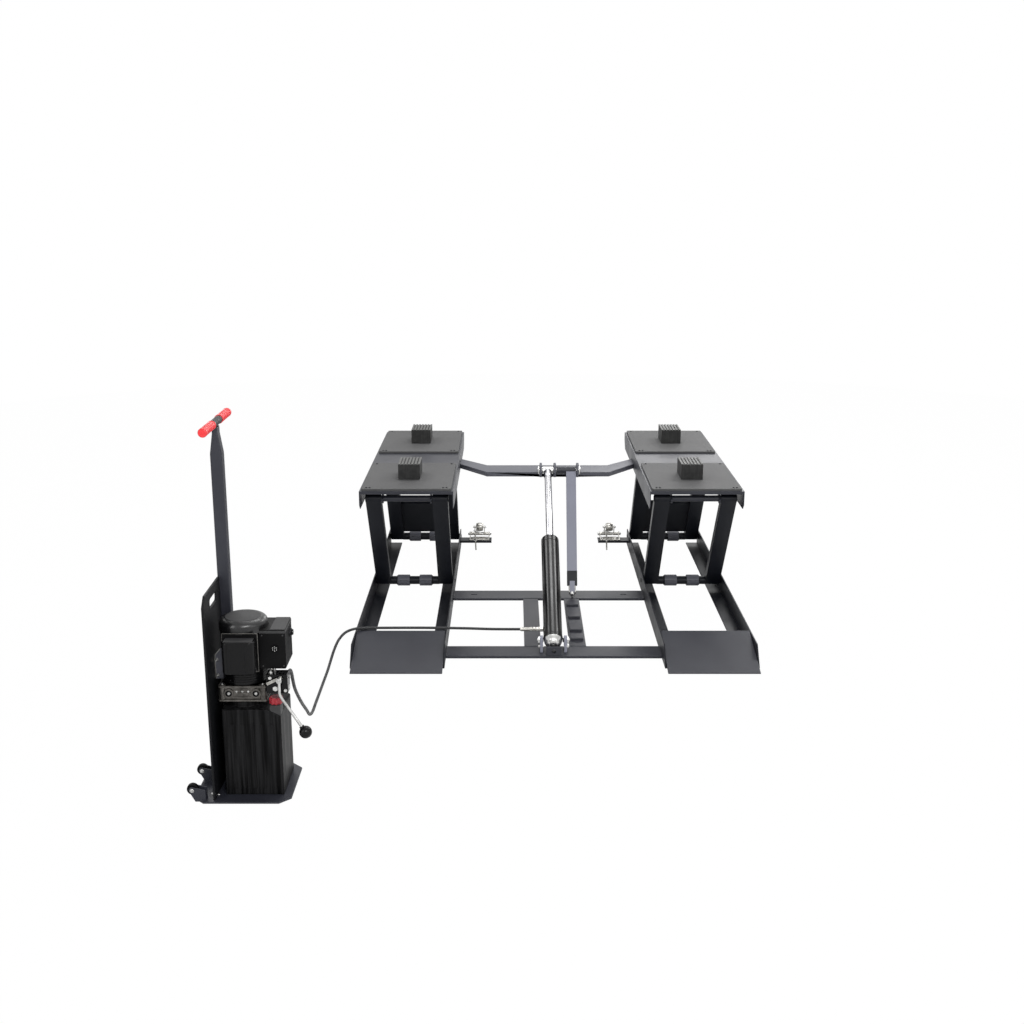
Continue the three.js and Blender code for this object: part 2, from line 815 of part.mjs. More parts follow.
function lockLeg() {
  const down = [-Math.cos(rad(lockAngle)), -Math.sin(rad(lockAngle))];
  const across = [-down[1], down[0]];
  const at = (along, side) => [
    topPinY + down[0] * along + across[0] * side, topPinZ + down[1] * along + across[1] * side];
  const x0 = lockEar - earGap - lockWidth;
  const x1 = lockEar - earGap;
  const sleeve = rodX(middleEar + earThick + earGap, x1, topPinY, topPinZ, lockSleeveRadius);
  const body = outline([
    at(0, -lockDepth / 2), at(lockReach - lockTaper, -lockDepth / 2),
    at(lockReach - lockTipGap, -lockTipDepth / 2), at(lockReach - lockTipGap, lockTipDepth / 2),
    at(lockReach - lockTaper, lockDepth / 2), at(0, lockDepth / 2),
  ]);
  const toe = capsule(at(lockReach - lockTaper, 0), at(lockReach, 0), lockRollerRadius);
  const toeInset = lockWidth / 4;
  return cut(
    join(sleeve, alongX(body, x0, x1), alongX(toe, x0 + toeInset, x1 - toeInset)),
    rodX(middleEar, lockEar + overrun, topPinY, topPinZ, topPinRadius + boreGap));
}

add('lock_leg', lockLeg(), ...lightPaint);

// Transport casters

function casterShelf(side) {
  const near = side * (baseInnerX - seatGap);
  const far = side * (baseInnerX - shelfReach);
  const plate = box(near, far, shelfFrontY, shelfRearY, shelfZ, shelfZ + shelfThick);
  const lip = box(near, far, shelfFrontY, shelfFrontY + shelfThick, shelfZ - shelfLip, shelfZ + shelfThick);
  return join(plate, lip);
}

function casterBracket(side) {
  const low = shelfZ + shelfThick + seatGap;
  const half = casterEarSpan / 2;
  const mid = side * casterMidX;
  const parts = [box(
    mid - half - casterEarThick, mid + half + casterEarThick,
    shelfFrontY + shelfThick, shelfRearY, low, low + casterBracketSheet)];
  const shape = new THREE.Shape();
  shape.moveTo(shelfFrontY + shelfThick, low);
  shape.lineTo(shelfRearY, low);
  shape.absarc(casterPivotY, casterPivotZ, casterEarRadius, -Math.PI / 3, Math.PI * 0.6, false);
  for (const x of [mid - half - casterEarThick, mid + half]) {
    parts.push(alongX(shape, x, x + casterEarThick));
  }
  parts.push(rodX(
    mid - half - casterEarThick / 2, mid + half + casterEarThick / 2,
    casterPivotY, casterPivotZ, casterPinRadius, smallSteps));
  return join(...parts);
}

function casterFork(side) {
  const mid = side * casterMidX;
  const half = casterEarSpan / 2 - seatGap * 2;
  const axleZ = casterPivotZ + forkArm;
  const parts = [rodX(mid - half, mid + half, casterPivotY, casterPivotZ, forkTubeRadius, smallSteps)];
  const arm = capsule([casterPivotY, casterPivotZ], [casterPivotY, axleZ], forkArmHalf);
  for (const x of [mid - forkSpan / 2 - forkSheet, mid + forkSpan / 2]) {
    parts.push(alongX(arm, x, x + forkSheet));
  }
  parts.push(rodX(
    mid - forkSpan / 2 - forkSheet / 2, mid + forkSpan / 2 + forkSheet / 2,
    casterPivotY, axleZ, casterAxleRadius, smallSteps));
  const bore = rodX(
    mid - half - overrun, mid + half + overrun, casterPivotY, casterPivotZ,
    casterPinRadius + boreGap, smallSteps);
  return cut(join(...parts), bore);
}

function wheelX(mid, y, z, radius, width, bore) {
  const chamfer = width / 8;
  const half = width / 2;
  return turned([
    [bore, -half], [radius - chamfer, -half], [radius, -half + chamfer], [radius, half - chamfer],
    [radius - chamfer, half], [bore, half], [bore, -half],
  ]).rotateY(Math.PI / 2).translate(mid, y, z);
}

for (const [name, side] of sides) {
  add(`${name}_caster_shelf`, casterShelf(side), ...paint);
  add(`${name}_caster_bracket`, casterBracket(side), ...zinc);
  add(`${name}_caster_fork`, casterFork(side), ...zinc);
  add(`${name}_caster_wheel`, wheelX(
    side * casterMidX, casterPivotY, casterPivotZ + forkArm,
    casterWheelRadius, casterWheelWidth, casterAxleRadius + boreGap), ...zinc);
}

// Cart: floor plate with the wheel ears, side plate, post and handle

function cartWheelEar(y0) {
  const shape = new THREE.Shape();
  shape.moveTo(cartWheelX + cartEarFoot, cartSheet / 2);
  shape.lineTo(cartWheelX + cartEarFoot, cartWheelZ);
  shape.absarc(cartWheelX, cartWheelZ, cartEarRadius, Math.PI / 2, Math.PI * 1.25, false);
  shape.lineTo(cartLeftX + cartCorner / 4, cartSheet / 2);
  return alongY(shape, y0, y0 + cartWheelEarThick);
}

function cartPlate() {
  const plan = outline([
    [cartLeftX + cartCorner, cartFrontY], [cartRightX - cartCorner, cartFrontY],
    [cartRightX, cartFrontY + cartCorner], [cartRightX, cartRearY - cartCorner],
    [cartRightX - cartCorner, cartRearY], [cartLeftX + cartCorner, cartRearY],
    [cartLeftX, cartRearY - cartCorner], [cartLeftX, cartFrontY + cartCorner],
  ]);
  const parts = [alongZ(plan, 0, cartSheet)];
  for (const y of cartWheelYs) {
    const reach = cartWheelWidth / 2 + cartWheelEarGap;
    parts.push(cartWheelEar(y + reach), cartWheelEar(y - reach - cartWheelEarThick));
    parts.push(rodY(
      cartWheelX, y - reach - cartWheelEarThick / 2, y + reach + cartWheelEarThick / 2,
      cartWheelZ, cartAxleRadius, smallSteps));
  }
  return join(...parts);
}

function sidePlate() {
  const rear = postY - postSide / 2 - seatGap;
  const low = cartSheet + seatGap;
  const profile = outline([
    [sidePlateFrontY, low], [rear, low], [rear, low + sidePlateHeight],
    [sidePlateFrontY + sidePlateCorner, low + sidePlateHeight],
    [sidePlateFrontY, low + sidePlateHeight - sidePlateCorner],
  ]);
  const slot = roundedRect((slotRearY - slotFrontY) / 2, (slotHighZ - slotLowZ) / 2, slotCorner);
  const x0 = sidePlateX - sidePlateThick / 2;
  const x1 = sidePlateX + sidePlateThick / 2;
  const hole = alongX(slot, x0 - overrun, x1 + overrun, 4)
    .translate(0, (slotFrontY + slotRearY) / 2, (slotLowZ + slotHighZ) / 2);
  return cut(alongX(profile, x0, x1), hole);
}

function handlePost() {
  const half = postSide / 2;
  const neck = postNeckSide / 2;
  const top = handleZ - handleCollarRadius - seatGap;
  const front = outline([
    [-half, cartSheet + seatGap], [half, cartSheet + seatGap], [half, postShoulderZ], [neck, postNeckZ],
    [neck, top], [-neck, top], [-neck, postNeckZ], [-half, postShoulderZ],
  ]);
  return alongY(front, -half, half).translate(postX, postY, 0);
}

function handleBar() {
  const half = handleLength / 2 - gripEndWall - seatGap;
  const collar = handleLength / 2 - gripLength - seatGap;
  return turned([
    [0, -half], [handleRadius, -half], [handleRadius, -collar], [handleCollarRadius, -collar],
    [handleCollarRadius, collar], [handleRadius, collar], [handleRadius, half], [0, half],
  ]).rotateX(Math.PI / 2).translate(postX, postY, handleZ);
}

function grip(direction) {
  const inner = handleLength / 2 - gripLength;
  const outer = handleLength / 2;
  const bore = handleRadius + seatGap;
  const sleeve = turned([
    [bore, inner], [gripRadius, inner], [gripRadius, outer - gripEndWall / 2],
    [gripRadius - gripEndWall / 2, outer], [0, outer], [0, outer - gripEndWall], [bore, outer - gripEndWall],
    [bore, inner],
  ]).rotateX(-Math.PI / 2);
  if (direction < 0) sleeve.rotateX(Math.PI);
  return sleeve.translate(postX, postY, handleZ);
}

function cartWheel(y) {
  const half = cartWheelWidth / 2;
  const bore = cartAxleRadius + boreGap;
  const chamfer = cartWheelWidth / 6;
  return turned([
    [bore, -half], [cartWheelRadius - chamfer, -half], [cartWheelRadius, -half + chamfer],
    [cartWheelRadius, half - chamfer], [cartWheelRadius - chamfer, half], [bore, half], [bore, -half],
  ]).rotateX(Math.PI / 2).translate(cartWheelX, y, cartWheelZ);
}

add('cart_floor_plate', cartPlate(), ...paint);
add('cart_side_plate', sidePlate(), ...paint);
add('handle_post', handlePost(), ...paint);
add('handle_bar', handleBar(), ...blackPlastic);
add('front_grip', grip(-1), ...redPlastic);
add('rear_grip', grip(1), ...redPlastic);
add('front_cart_wheel', cartWheel(cartWheelYs[0]), ...blackPlastic);
add('rear_cart_wheel', cartWheel(cartWheelYs[1]), ...blackPlastic);

// Power unit: tank, valve block, motor and what is on them

const tankLowZ = cartSheet + seatGap;
const tankTopZ = tankLowZ + tankHeight;

function oilTank() {
  const face = outline([
    [tankLeftX, tankLowZ], [tankRightX, tankLowZ], [tankRightX, tankTopZ - tankSlopeDrop],
    [tankRightX - tankSlopeRun, tankTopZ], [tankLeftX, tankTopZ],
  ]);
  const parts = [alongY(face, tankFrontY, tankRearY)];
  const span = tankRightX - tankLeftX - 2 * tankRibMargin - tankRibWidth;
  for (let i = 0; i < tankRibs; i += 1) {
    const x = tankLeftX + tankRibMargin + (i * span) / (tankRibs - 1);
    parts.push(box(
      x, x + tankRibWidth, tankFrontY - tankRibDepth, tankFrontY + overrun,
      tankLowZ + tankRibMargin, tankTopZ - tankRibMargin * 2));
  }
  const neckLow = tankTopZ - tankSlopeDrop * 2;
  parts.push(rodZ(tankNeckX, tankNeckY, neckLow, tankNeckTopZ, tankNeckRadius));
  parts.push(rodZ(motorX, motorY, tankTopZ - overrun, blockBottomZ - seatGap, neckRadius));
  return join(...parts);
}

function valveBlock() {
  const top = blockBottomZ + valveBlockHeight;
  const chamfer = valveBlockHalf / 5;
  const h = valveBlockHalf;
  const plan = outline([
    [-h + chamfer, -h], [h - chamfer, -h], [h, -h + chamfer], [h, h - chamfer],
    [h - chamfer, h], [-h + chamfer, h], [-h, h - chamfer], [-h, -h + chamfer],
  ]);
  const block = alongZ(plan, blockBottomZ, top).translate(motorX, motorY, 0);
  const manifold = box(
    manifoldLeftX - overrun, manifoldRightX, manifoldFrontY, manifoldRearY, manifoldLowZ, manifoldHighZ);
  const seat = rodZ(motorX, motorY, top, manifoldHighZ + overrun, motorRadius + seatGap, motorSteps);
  return cut(join(block, manifold), seat);
}

function motorBody() {
  const low = blockBottomZ + valveBlockHeight + seatGap;
  return rodZ(motorX, motorY, low, motorTopZ, motorRadius, motorSteps);
}

function motorCap() {
  const low = motorTopZ + seatGap;
  const profile = [[0, low], [motorCapRadius, low]];
  const arcSteps = 5;
  for (let i = 0; i <= arcSteps; i += 1) {
    const t = (i / arcSteps) * (Math.PI / 2);
    const r = motorCapRadius - motorCapRound + motorCapRound * Math.cos(t);
    profile.push([r, motorCapTopZ - motorCapRound + motorCapRound * Math.sin(t)]);
  }
  profile.push([0, motorCapTopZ]);
  return turned(profile, motorSteps).translate(motorX, motorY, 0);
}

const motorClear = rodZ(motorX, motorY, blockBottomZ, motorCapTopZ, motorRadius + seatGap, motorSteps);

function capacitorCover() {
  const depth = capacitorRearY - capacitorFrontY;
  const shape = roundedRect(capacitorWidth / 2, depth / 2, capacitorCorner);
  const solid = alongZ(shape, capacitorLowZ, capacitorHighZ, 4)
    .translate(capacitorX, (capacitorFrontY + capacitorRearY) / 2, 0);
  return cut(solid, motorClear);
}

function controlBox() {
  const midZ = (controlLowZ + controlHighZ) / 2;
  const shape = roundedRect(
    (controlRightX - controlLeftX) / 2, (controlHighZ - controlLowZ) / 2, controlCorner);
  const solid = alongY(shape, controlFrontY, controlRearY, 3)
    .translate((controlLeftX + controlRightX) / 2, 0, midZ);
  const capClear = rodZ(
    motorX, motorY, motorTopZ - seatGap, controlHighZ + overrun, motorCapRadius + seatGap, motorSteps);
  const well = rodX(
    controlRightX - buttonWell, controlRightX + overrun, buttonY, buttonZ, buttonRadius + boreGap,
    smallSteps);
  return cut(solid, motorClear, capClear, well);
}

function startButton() {
  const x0 = controlRightX - buttonWell + buttonTravel + seatGap;
  return rodX(x0, x0 + buttonHeight, buttonY, buttonZ, buttonRadius, smallSteps);
}

function motorBracket() {
  const left = sidePlateX + sidePlateThick / 2 + seatGap;
  const shape = outline([
    [left, bracketLowZ], [motorX, bracketLowZ],
    [motorX, bracketHighZ], [motorX - motorRadius, bracketHighZ], [left, bracketShoulderZ],
  ]);
  const solid = alongY(shape, bracketY, bracketY + bracketSheet);
  return cut(solid, motorClear);
}

const leverY = manifoldFrontY - leverStandoff - leverRodRadius;

function valveLever() {
  const bend = [leverX, leverZ - leverDrop];
  const tip = [leverX + leverReachX, leverZ - leverReachZ];
  const reach = Math.hypot(tip[0] - bend[0], tip[1] - bend[1]);
  const share = (reach - leverKnobRadius - seatGap) / reach;
  const end = [bend[0] + (tip[0] - bend[0]) * share, bend[1] + (tip[1] - bend[1]) * share];
  const rod = (from, to) => {
    const length = Math.hypot(to[0] - from[0], to[1] - from[1]);
    return new THREE.CylinderGeometry(leverRodRadius, leverRodRadius, length, smallSteps)
      .rotateX(Math.PI / 2)
      .rotateY(Math.atan2(to[0] - from[0], to[1] - from[1]))
      .translate((from[0] + to[0]) / 2, leverY, (from[1] + to[1]) / 2);
  };
  const hub = rodY(
    leverX, leverY - leverRodRadius, manifoldFrontY - seatGap, leverZ, leverHubRadius, smallSteps);
  const elbow = new THREE.SphereGeometry(leverRodRadius, smallSteps, 8).translate(bend[0], leverY, bend[1]);
  return join(hub, rod([leverX, leverZ], bend), rod(bend, end), elbow);
}

function leverKnob() {
  return new THREE.SphereGeometry(leverKnobRadius, roundSteps, smallSteps)
    .translate(leverX + leverReachX, leverY, leverZ - leverReachZ);
}

function fillerCap() {
  const low = tankNeckTopZ + seatGap;
  return rodZ(tankNeckX, tankNeckY, low, low + capHeight, capRadius, smallSteps);
}

add('oil_tank', oilTank(), ...blackPlastic);
add('valve_block', valveBlock(), ...castAluminium);
add('motor_body', motorBody(), ...blackGloss);
add('motor_cap', motorCap(), ...blackGloss);
add('capacitor_cover', capacitorCover(), ...blackPlastic);
add('control_box', controlBox(), ...blackPlastic);
add('start_button', startButton(), ...blackPlastic);
add('motor_bracket', motorBracket(), ...castAluminium);
add('valve_lever', valveLever(), ...chrome);
add('lever_knob', leverKnob(), ...blackPlastic);
add('filler_cap', fillerCap(), ...redPlastic);

// Hose: out of the outlet, down to the floor, along it and over the rails to the cylinder's port

const outletStartY = manifoldRearY + seatGap;
const hoseStartY = outletStartY + outletLength + seatGap;
const portX = cylinderX - tubeRadius - seatGap * 2;
const hoseEndX = portX - fittingLength - seatGap;
const hoseRoute = [
  [outletX, hoseStartY, outletZ], [-960, -2056, 420], [-960.5, -2036, 416], [-961, -2016, 403],
  [-962, -1998, 383], [-963, -1978, 355], [-964, -1950, 318], [-965, -1905, 276],
  [-966, -1856, 236], [-969, -1781, 182], [-975, -1650, 97], [-981, -1550, 35],
  [-984, -1465, 9.5], [-985, -1370, 6.8], [-985, -1240, 6.8], [-985, -1110, 6.8],
  [-984, -1020, 10], [-981, -950, 25], [-973, -890, 52], [-958, -836, 80],
  [-932, -787, 97], [-895, -754, 101], [-845, -737, 99], [-770, -733, 98],
  [-684, -732, 98], [-590, -732, 98], [-481, -732, 97], [-380, -732, 95],
  [-280, -731, 91.5], [-200, portY, portZ], [hoseEndX, portY, portZ],
];

function hose() {
  const points = hoseRoute.map((p) => new THREE.Vector3(...p));
  const path = new THREE.CatmullRomCurve3(points, false, 'centripetal');
  const section = new THREE.Shape();
  for (let i = 0; i < hoseSides; i += 1) {
    const t = ((i + 0.5) / hoseSides) * Math.PI * 2;
    const at = [hoseRadius * Math.cos(t), hoseRadius * Math.sin(t)];
    if (i === 0) section.moveTo(...at);
    else section.lineTo(...at);
  }
  return new THREE.ExtrudeGeometry(section, { steps: hoseSteps, extrudePath: path, bevelEnabled: false });
}

function hoseFitting() {
  const length = fittingLength;
  const nut = length / 6;
  return turned([
    [0, 0], [fittingNutRadius, 0], [fittingNutRadius, nut], [fittingRadius, nut],
    [fittingRadius, length / 2], [fittingRadius + hoseRadius / 4, length / 2],
    [fittingRadius + hoseRadius / 4, length], [0, length],
  ], smallSteps).rotateY(-Math.PI / 2).translate(portX, portY, portZ);
}

add('hose_outlet', rodY(
  outletX, outletStartY, outletStartY + outletLength, outletZ, outletRadius, 6), ...blackPlastic);
add('hose', hose(), ...blackPlastic);
add('hose_fitting', hoseFitting(), ...zinc);

export default group;
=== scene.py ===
import math
from types import SimpleNamespace as Named
import bpy
import bmesh
from mathutils import Matrix, Vector


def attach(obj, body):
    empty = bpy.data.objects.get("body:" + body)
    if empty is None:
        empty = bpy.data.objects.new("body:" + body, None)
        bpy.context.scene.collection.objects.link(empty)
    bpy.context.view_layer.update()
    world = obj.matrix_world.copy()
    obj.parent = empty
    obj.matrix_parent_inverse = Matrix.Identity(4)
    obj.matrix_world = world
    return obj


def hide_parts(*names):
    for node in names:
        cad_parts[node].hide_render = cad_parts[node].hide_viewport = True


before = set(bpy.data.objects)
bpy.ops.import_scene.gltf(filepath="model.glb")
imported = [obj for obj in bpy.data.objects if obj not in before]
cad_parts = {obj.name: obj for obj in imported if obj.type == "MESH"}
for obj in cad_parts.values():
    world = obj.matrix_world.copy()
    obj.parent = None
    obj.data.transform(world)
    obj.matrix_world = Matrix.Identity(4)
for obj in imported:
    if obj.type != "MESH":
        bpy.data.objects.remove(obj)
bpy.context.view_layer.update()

# Camera at the photograph's place and angle
camera = {"place": (-0.1865, -6.23, 2.0985), "pitch": 75.15, "lens": 45.21, "sensor": 36, "far": 200}


def placeCamera(c):
    data = bpy.data.cameras.new("camera")
    data.lens = c.lens
    data.sensor_width = c.sensor
    data.clip_end = c.far
    holder = bpy.data.objects.new("camera", data)
    holder.location = c.place
    holder.rotation_euler = (math.radians(c.pitch), 0, 0)
    bpy.context.scene.collection.objects.link(holder)
    bpy.context.scene.camera = holder


placeCamera(Named(**camera))
print("camera placed")


# Shader maths: a port is one output of a node, and its sums and products add Math nodes
class Port:
    def __init__(self, nodes, socket):
        self.nodes = nodes
        self.socket = socket

    def maths(self, operation, first, second=0.0):
        return self.nodes.node("ShaderNodeMath", {"operation": operation}, {0: first, 1: second})

    def __add__(self, other):
        return self.maths("ADD", self, other)

    def __sub__(self, other):
        return self.maths("SUBTRACT", self, other)

    def __mul__(self, other):
        return self.maths("MULTIPLY", self, other)

    def __radd__(self, other):
        return self.maths("ADD", other, self)

    def __rsub__(self, other):
        return self.maths("SUBTRACT", other, self)

    def __rmul__(self, other):
        return self.maths("MULTIPLY", other, self)

    def sine(self):
        return self.maths("SINE", self)

    def between(self, low, high, start=0.0, end=1.0):
        values = {"Value": self, "From Min": low, "From Max": high, "To Min": start, "To Max": end}
        return self.nodes.node("ShaderNodeMapRange", {}, values)


class Nodes:
    def __init__(self, owner):
        owner.use_nodes = True
        self.tree = owner.node_tree

    def node(self, kind, settings, values, output=0):
        made = self.tree.nodes.new(kind)
        for label, value in settings.items():
            setattr(made, label, value)
        for label, value in values.items():
            if isinstance(value, Port):
                self.tree.links.new(value.socket, made.inputs[label])
            else:
                made.inputs[label].default_value = value
        return Port(self, made.outputs[output]) if made.outputs else None


class Finish(Nodes):
    def __init__(self, name, specular=0.5, metal=0.0):
        self.material = bpy.data.materials.new(name)
        super().__init__(self.material)
        self.shader = self.tree.nodes["Principled BSDF"]
        self.shader.inputs["Metallic"].default_value = metal
        self.shader.inputs["Specular IOR Level"].default_value = specular

    def feed(self, label, port):
        self.tree.links.new(port.socket, self.shader.inputs[label])

    def place(self):
        return self.node("ShaderNodeTexCoord", {}, {}, "Object")

    def noise(self, scale, detail=3.0, stretch=(1, 1, 1), roughness=0.5):
        spot = self.node("ShaderNodeMapping", {}, {"Vector": self.place(), "Scale": stretch})
        values = {"Vector": spot, "Scale": scale, "Detail": detail, "Roughness": roughness}
        return self.node("ShaderNodeTexNoise", {}, values)

    def blend(self, factor, first, second):
        # Colours mix on the sockets 6 and 7 of a Mix node
        first, second = [c if isinstance(c, Port) else (*c, 1) for c in (first, second)]
        return self.node("ShaderNodeMix", {"data_type": "RGBA"}, {0: factor, 6: first, 7: second}, 2)

    def colour(self, factor, first, second):
        self.feed("Base Color", self.blend(factor, first, second))

    def bump(self, height, distance):
        values = {"Height": height, "Distance": distance, "Strength": 1.0}
        self.feed("Normal", self.node("ShaderNodeBump", {}, values))


def powderCoat(name, base, worn, roughness, specular=0.32, peel=0.00004):
    # Fine orange peel, a soft drift in colour and gloss, and faint scuffs
    f = Finish(name, specular)
    drift = f.noise(5.0, 4.0)
    scuff = f.noise(34.0, 6.0, (1, 0.25, 1), 0.65).between(0.62, 0.78)
    f.colour(drift.between(0.35, 0.7) * 0.5 + scuff * 0.35, base, worn)
    f.feed("Roughness", drift.between(0.3, 0.7, roughness - 0.05, roughness + 0.06) + scuff * 0.08)
    f.bump(f.noise(900.0, 2.0), peel)
    return f.material


def bareMetal(name, base, dull, roughness, grain, metal=1.0, spots=18.0, depth=0.00003):
    # Plated or cast metal: blotches in tone, grain in the surface
    f = Finish(name, metal=metal)
    blotch = f.noise(spots, 5.0, roughness=0.6).between(0.35, 0.7)
    f.colour(blotch, base, dull)
    fine = f.noise(grain)
    f.feed("Roughness", blotch * 0.1 + fine * 0.08 + roughness)
    f.bump(fine, depth)
    return f.material


def chromeRod(name):
    # Polished chrome with drawn lines along the rod, which leans in the y and z plane; their strong light
    # and dark bands are partly painted reflection banding
    f = Finish(name, metal=1.0)
    lines = f.noise(230.0, 3.0, (1, 0.01, 0.01), 0.65)
    drift = f.noise(9.0, 2.0).between(0.3, 0.7)
    # Colour follows the lines: partly drawn lines, partly painted reflection bands along the rod
    f.colour(lines.between(0.38, 0.62) * 0.8 + drift * 0.2, (0.74, 0.74, 0.75), (0.26, 0.26, 0.28))
    f.feed("Roughness", lines.between(0.3, 0.7, 0.1, 0.22))
    f.bump(lines, 0.00002)
    return f.material


def enamel(name, base, roughness, specular):
    # Black enamel, clouded a little, with fine dust in it
    f = Finish(name, specular)
    cloud = f.noise(9.0)
    dust = f.noise(150.0, 5.0, roughness=0.7).between(0.6, 0.8)
    f.colour(dust * 0.4, base, [value + 0.02 for value in base])
    f.feed("Roughness", cloud.between(0.3, 0.7, roughness - 0.04, roughness + 0.06) + dust * 0.1)
    f.bump(f.noise(320.0, 2.0), 0.00002)
    return f.material


def moulding(name, base, pale, roughness, specular, grain=650.0, depth=0.00006):
    # Moulded plastic with a fine spark-eroded grain
    f = Finish(name, specular)
    pebble = f.noise(grain, 2.0)
    cloud = f.noise(11.0, 4.0).between(0.35, 0.7)
    f.colour(cloud * 0.6 + pebble.between(0.55, 0.75) * 0.25, base, pale)
    f.feed("Roughness", pebble.between(0.3, 0.7, roughness - 0.06, roughness + 0.08))
    f.bump(pebble, depth)
    return f.material


def streakedTank(name):
    # Blow-moulded tank: dark vertical streaks over a satin grain
    f = Finish(name, 0.07)
    streak = f.noise(95.0, 4.0, (1, 1, 0.03), 0.6)
    f.colour(streak.between(0.4, 0.6), (0.0015, 0.0015, 0.0017), (0.014, 0.014, 0.0148))
    f.feed("Roughness", streak.between(0.35, 0.65, 0.36, 0.54))
    f.bump(streak * 0.6 + f.noise(500.0, 2.0) * 0.15, 0.0003)
    return f.material


def gritMat(name):
    # Anti-slip mat: bonded grit with light and dark grains
    f = Finish(name, 0.4)
    grit = f.noise(1100.0, 2.0)
    speck = f.noise(2400.0, 1.0).between(0.55, 0.75)
    drift = f.noise(4.0).between(0.3, 0.7)
    shade = grit.between(0.35, 0.65) * 0.5 + drift * 0.4
    tone = f.blend(shade, (0.056, 0.056, 0.057), (0.088, 0.088, 0.089))
    f.colour(speck * 0.5, tone, (0.2, 0.2, 0.2))
    f.feed("Roughness", grit.between(0.3, 0.7, 0.6, 0.78))
    f.bump(grit + speck * 0.4, 0.0003)
    return f.material


def blockRubber(name, ribTop):
    # Moulded rubber with upright draw lines and a dusty bloom, its rib tops paler above a set height
    f = Finish(name, 0.35)
    lines = f.noise(110.0, 2.0, (1, 1, 0.04))
    bloom = f.noise(40.0, 5.0).between(0.45, 0.75)
    height = f.node("ShaderNodeSeparateXYZ", {}, {"Vector": f.place()}, 2)
    crown = height.between(ribTop - 0.0016, ribTop - 0.0008)
    dusty = bloom * 0.6 + lines.between(0.5, 0.7) * 0.3
    f.colour(crown, f.blend(dusty, (0.012, 0.012, 0.012), (0.04, 0.04, 0.039)), (0.105, 0.105, 0.102))
    f.feed("Roughness", bloom.between(0.0, 1.0, 0.5, 0.68))
    f.bump(lines + f.noise(700.0, 2.0) * 0.3, 0.0002)
    return f.material


def braidedHose(name, around, pitch):
    # Two sets of strands cross on the hose's own map: U goes round it, V along it in metres
    f = Finish(name, 0.45)
    wrap = f.node("ShaderNodeUVMap", {"uv_map": "wrap"}, {})
    u, v = [f.node("ShaderNodeSeparateXYZ", {}, {"Vector": wrap}, axis) for axis in (0, 1)]
    rising = ((u * around + v * pitch) * (2 * math.pi)).sine()
    falling = ((u * around - v * pitch) * (2 * math.pi)).sine()
    weave = rising * falling
    f.colour(weave.between(-0.5, 0.7), (0.009, 0.009, 0.01), (0.075, 0.077, 0.08))
    f.feed("Roughness", weave.between(-0.6, 0.8, 0.6, 0.36))
    f.bump(weave, 0.0006)
    return f.material


finishes = {
    "paint": powderCoat("dark_powder_coat", (0.006, 0.0068, 0.0102), (0.0118, 0.0134, 0.0182), 0.42, 0.2),
    "sheet": powderCoat("deck_powder_coat", (0.021, 0.022, 0.03), (0.034, 0.036, 0.045), 0.4),
    # A lighter copy of the powder coat: painted light on front and top faces, used for the cross bar,
    # knuckle clamps, motor bracket and socket top plate
    "bar": powderCoat("painted_light_powder_coat", (0.082, 0.084, 0.102), (0.106, 0.108, 0.128), 0.42),
    # A darker copy of the powder coat: painted shade, used on the cart's side plate and on the socket's
    # latch slot
    "shade": powderCoat("painted_shade_powder_coat", (0.0042, 0.0045, 0.0055), (0.008, 0.0085, 0.01), 0.5, 0.16),
    "pale": powderCoat("pale_powder_coat", (0.225, 0.232, 0.288), (0.28, 0.288, 0.345), 0.4),
    "black": enamel("black_enamel", (0.003, 0.003, 0.0034), 0.22, 0.18),
    "gloss": enamel("gloss_enamel", (0.0035, 0.0035, 0.004), 0.3, 0.55),
    "tube": enamel("cylinder_enamel", (0.0045, 0.0045, 0.0048), 0.2, 0.3),
    "chrome": chromeRod("chrome_steel"),
    "zinc": bareMetal("zinc_steel", (0.5, 0.49, 0.46), (0.25, 0.245, 0.225), 0.26, 240.0),
    "bright": bareMetal("bright_steel", (0.63, 0.63, 0.62), (0.38, 0.38, 0.37), 0.18, 300.0),
    "cast": bareMetal(
        "cast_aluminium", (0.135, 0.127, 0.117), (0.026, 0.024, 0.021), 0.32, 420.0, 0.8, 42.0, 0.0004),
    "wire": bareMetal("raw_aluminium", (0.3, 0.29, 0.27), (0.13, 0.125, 0.115), 0.36, 420.0, 0.9, 30.0),
    "bolt": bareMetal("black_oxide_steel", (0.03, 0.03, 0.033), (0.012, 0.012, 0.014), 0.38, 300.0),
    "rubber": blockRubber("block_rubber", 0.73155),
    "mat": gritMat("grit_mat"),
    "red": moulding("red_grip_plastic", (0.7, 0.018, 0.026), (0.8, 0.06, 0.062), 0.36, 0.4),
    "wine": moulding("dark_red_plastic", (0.3, 0.012, 0.022), (0.42, 0.03, 0.04), 0.34, 0.5),
    "plastic": moulding("black_plastic", (0.0025, 0.0025, 0.0028), (0.0055, 0.0055, 0.0058), 0.46, 0.09),
    "lid": moulding("grey_top_plastic", (0.03, 0.03, 0.031), (0.044, 0.044, 0.045), 0.55, 0.25),
    "tank": streakedTank("tank_plastic"),
    "braid": braidedHose("hose_braid", 6, 330.0),
}
print("finishes mixed:", len(finishes))


# Modelling helpers: each adds a shape to a bmesh, and finishPiece makes the bmesh an object
def merge(bm, part, place=Matrix()):
    bmesh.ops.transform(part, matrix=place, verts=part.verts)
    carrier = bpy.data.meshes.new("carrier")
    part.to_mesh(carrier)
    part.free()
    bm.from_mesh(carrier)
    bpy.data.meshes.remove(carrier)


def roundEdges(part, edges, width, steps=2):
    bmesh.ops.bevel(
        part, geom=edges, offset=width, segments=steps, profile=0.5, affect="EDGES", material=-1)


def rise(edge):
    return abs(edge.verts[0].co.z - edge.verts[1].co.z)


def aim(start, end):
    # Puts a shape's own Z from start towards end
    turned = (Vector(end) - Vector(start)).to_track_quat("Z", "Y")
    return Matrix.Translation(start) @ turned.to_matrix().to_4x4()


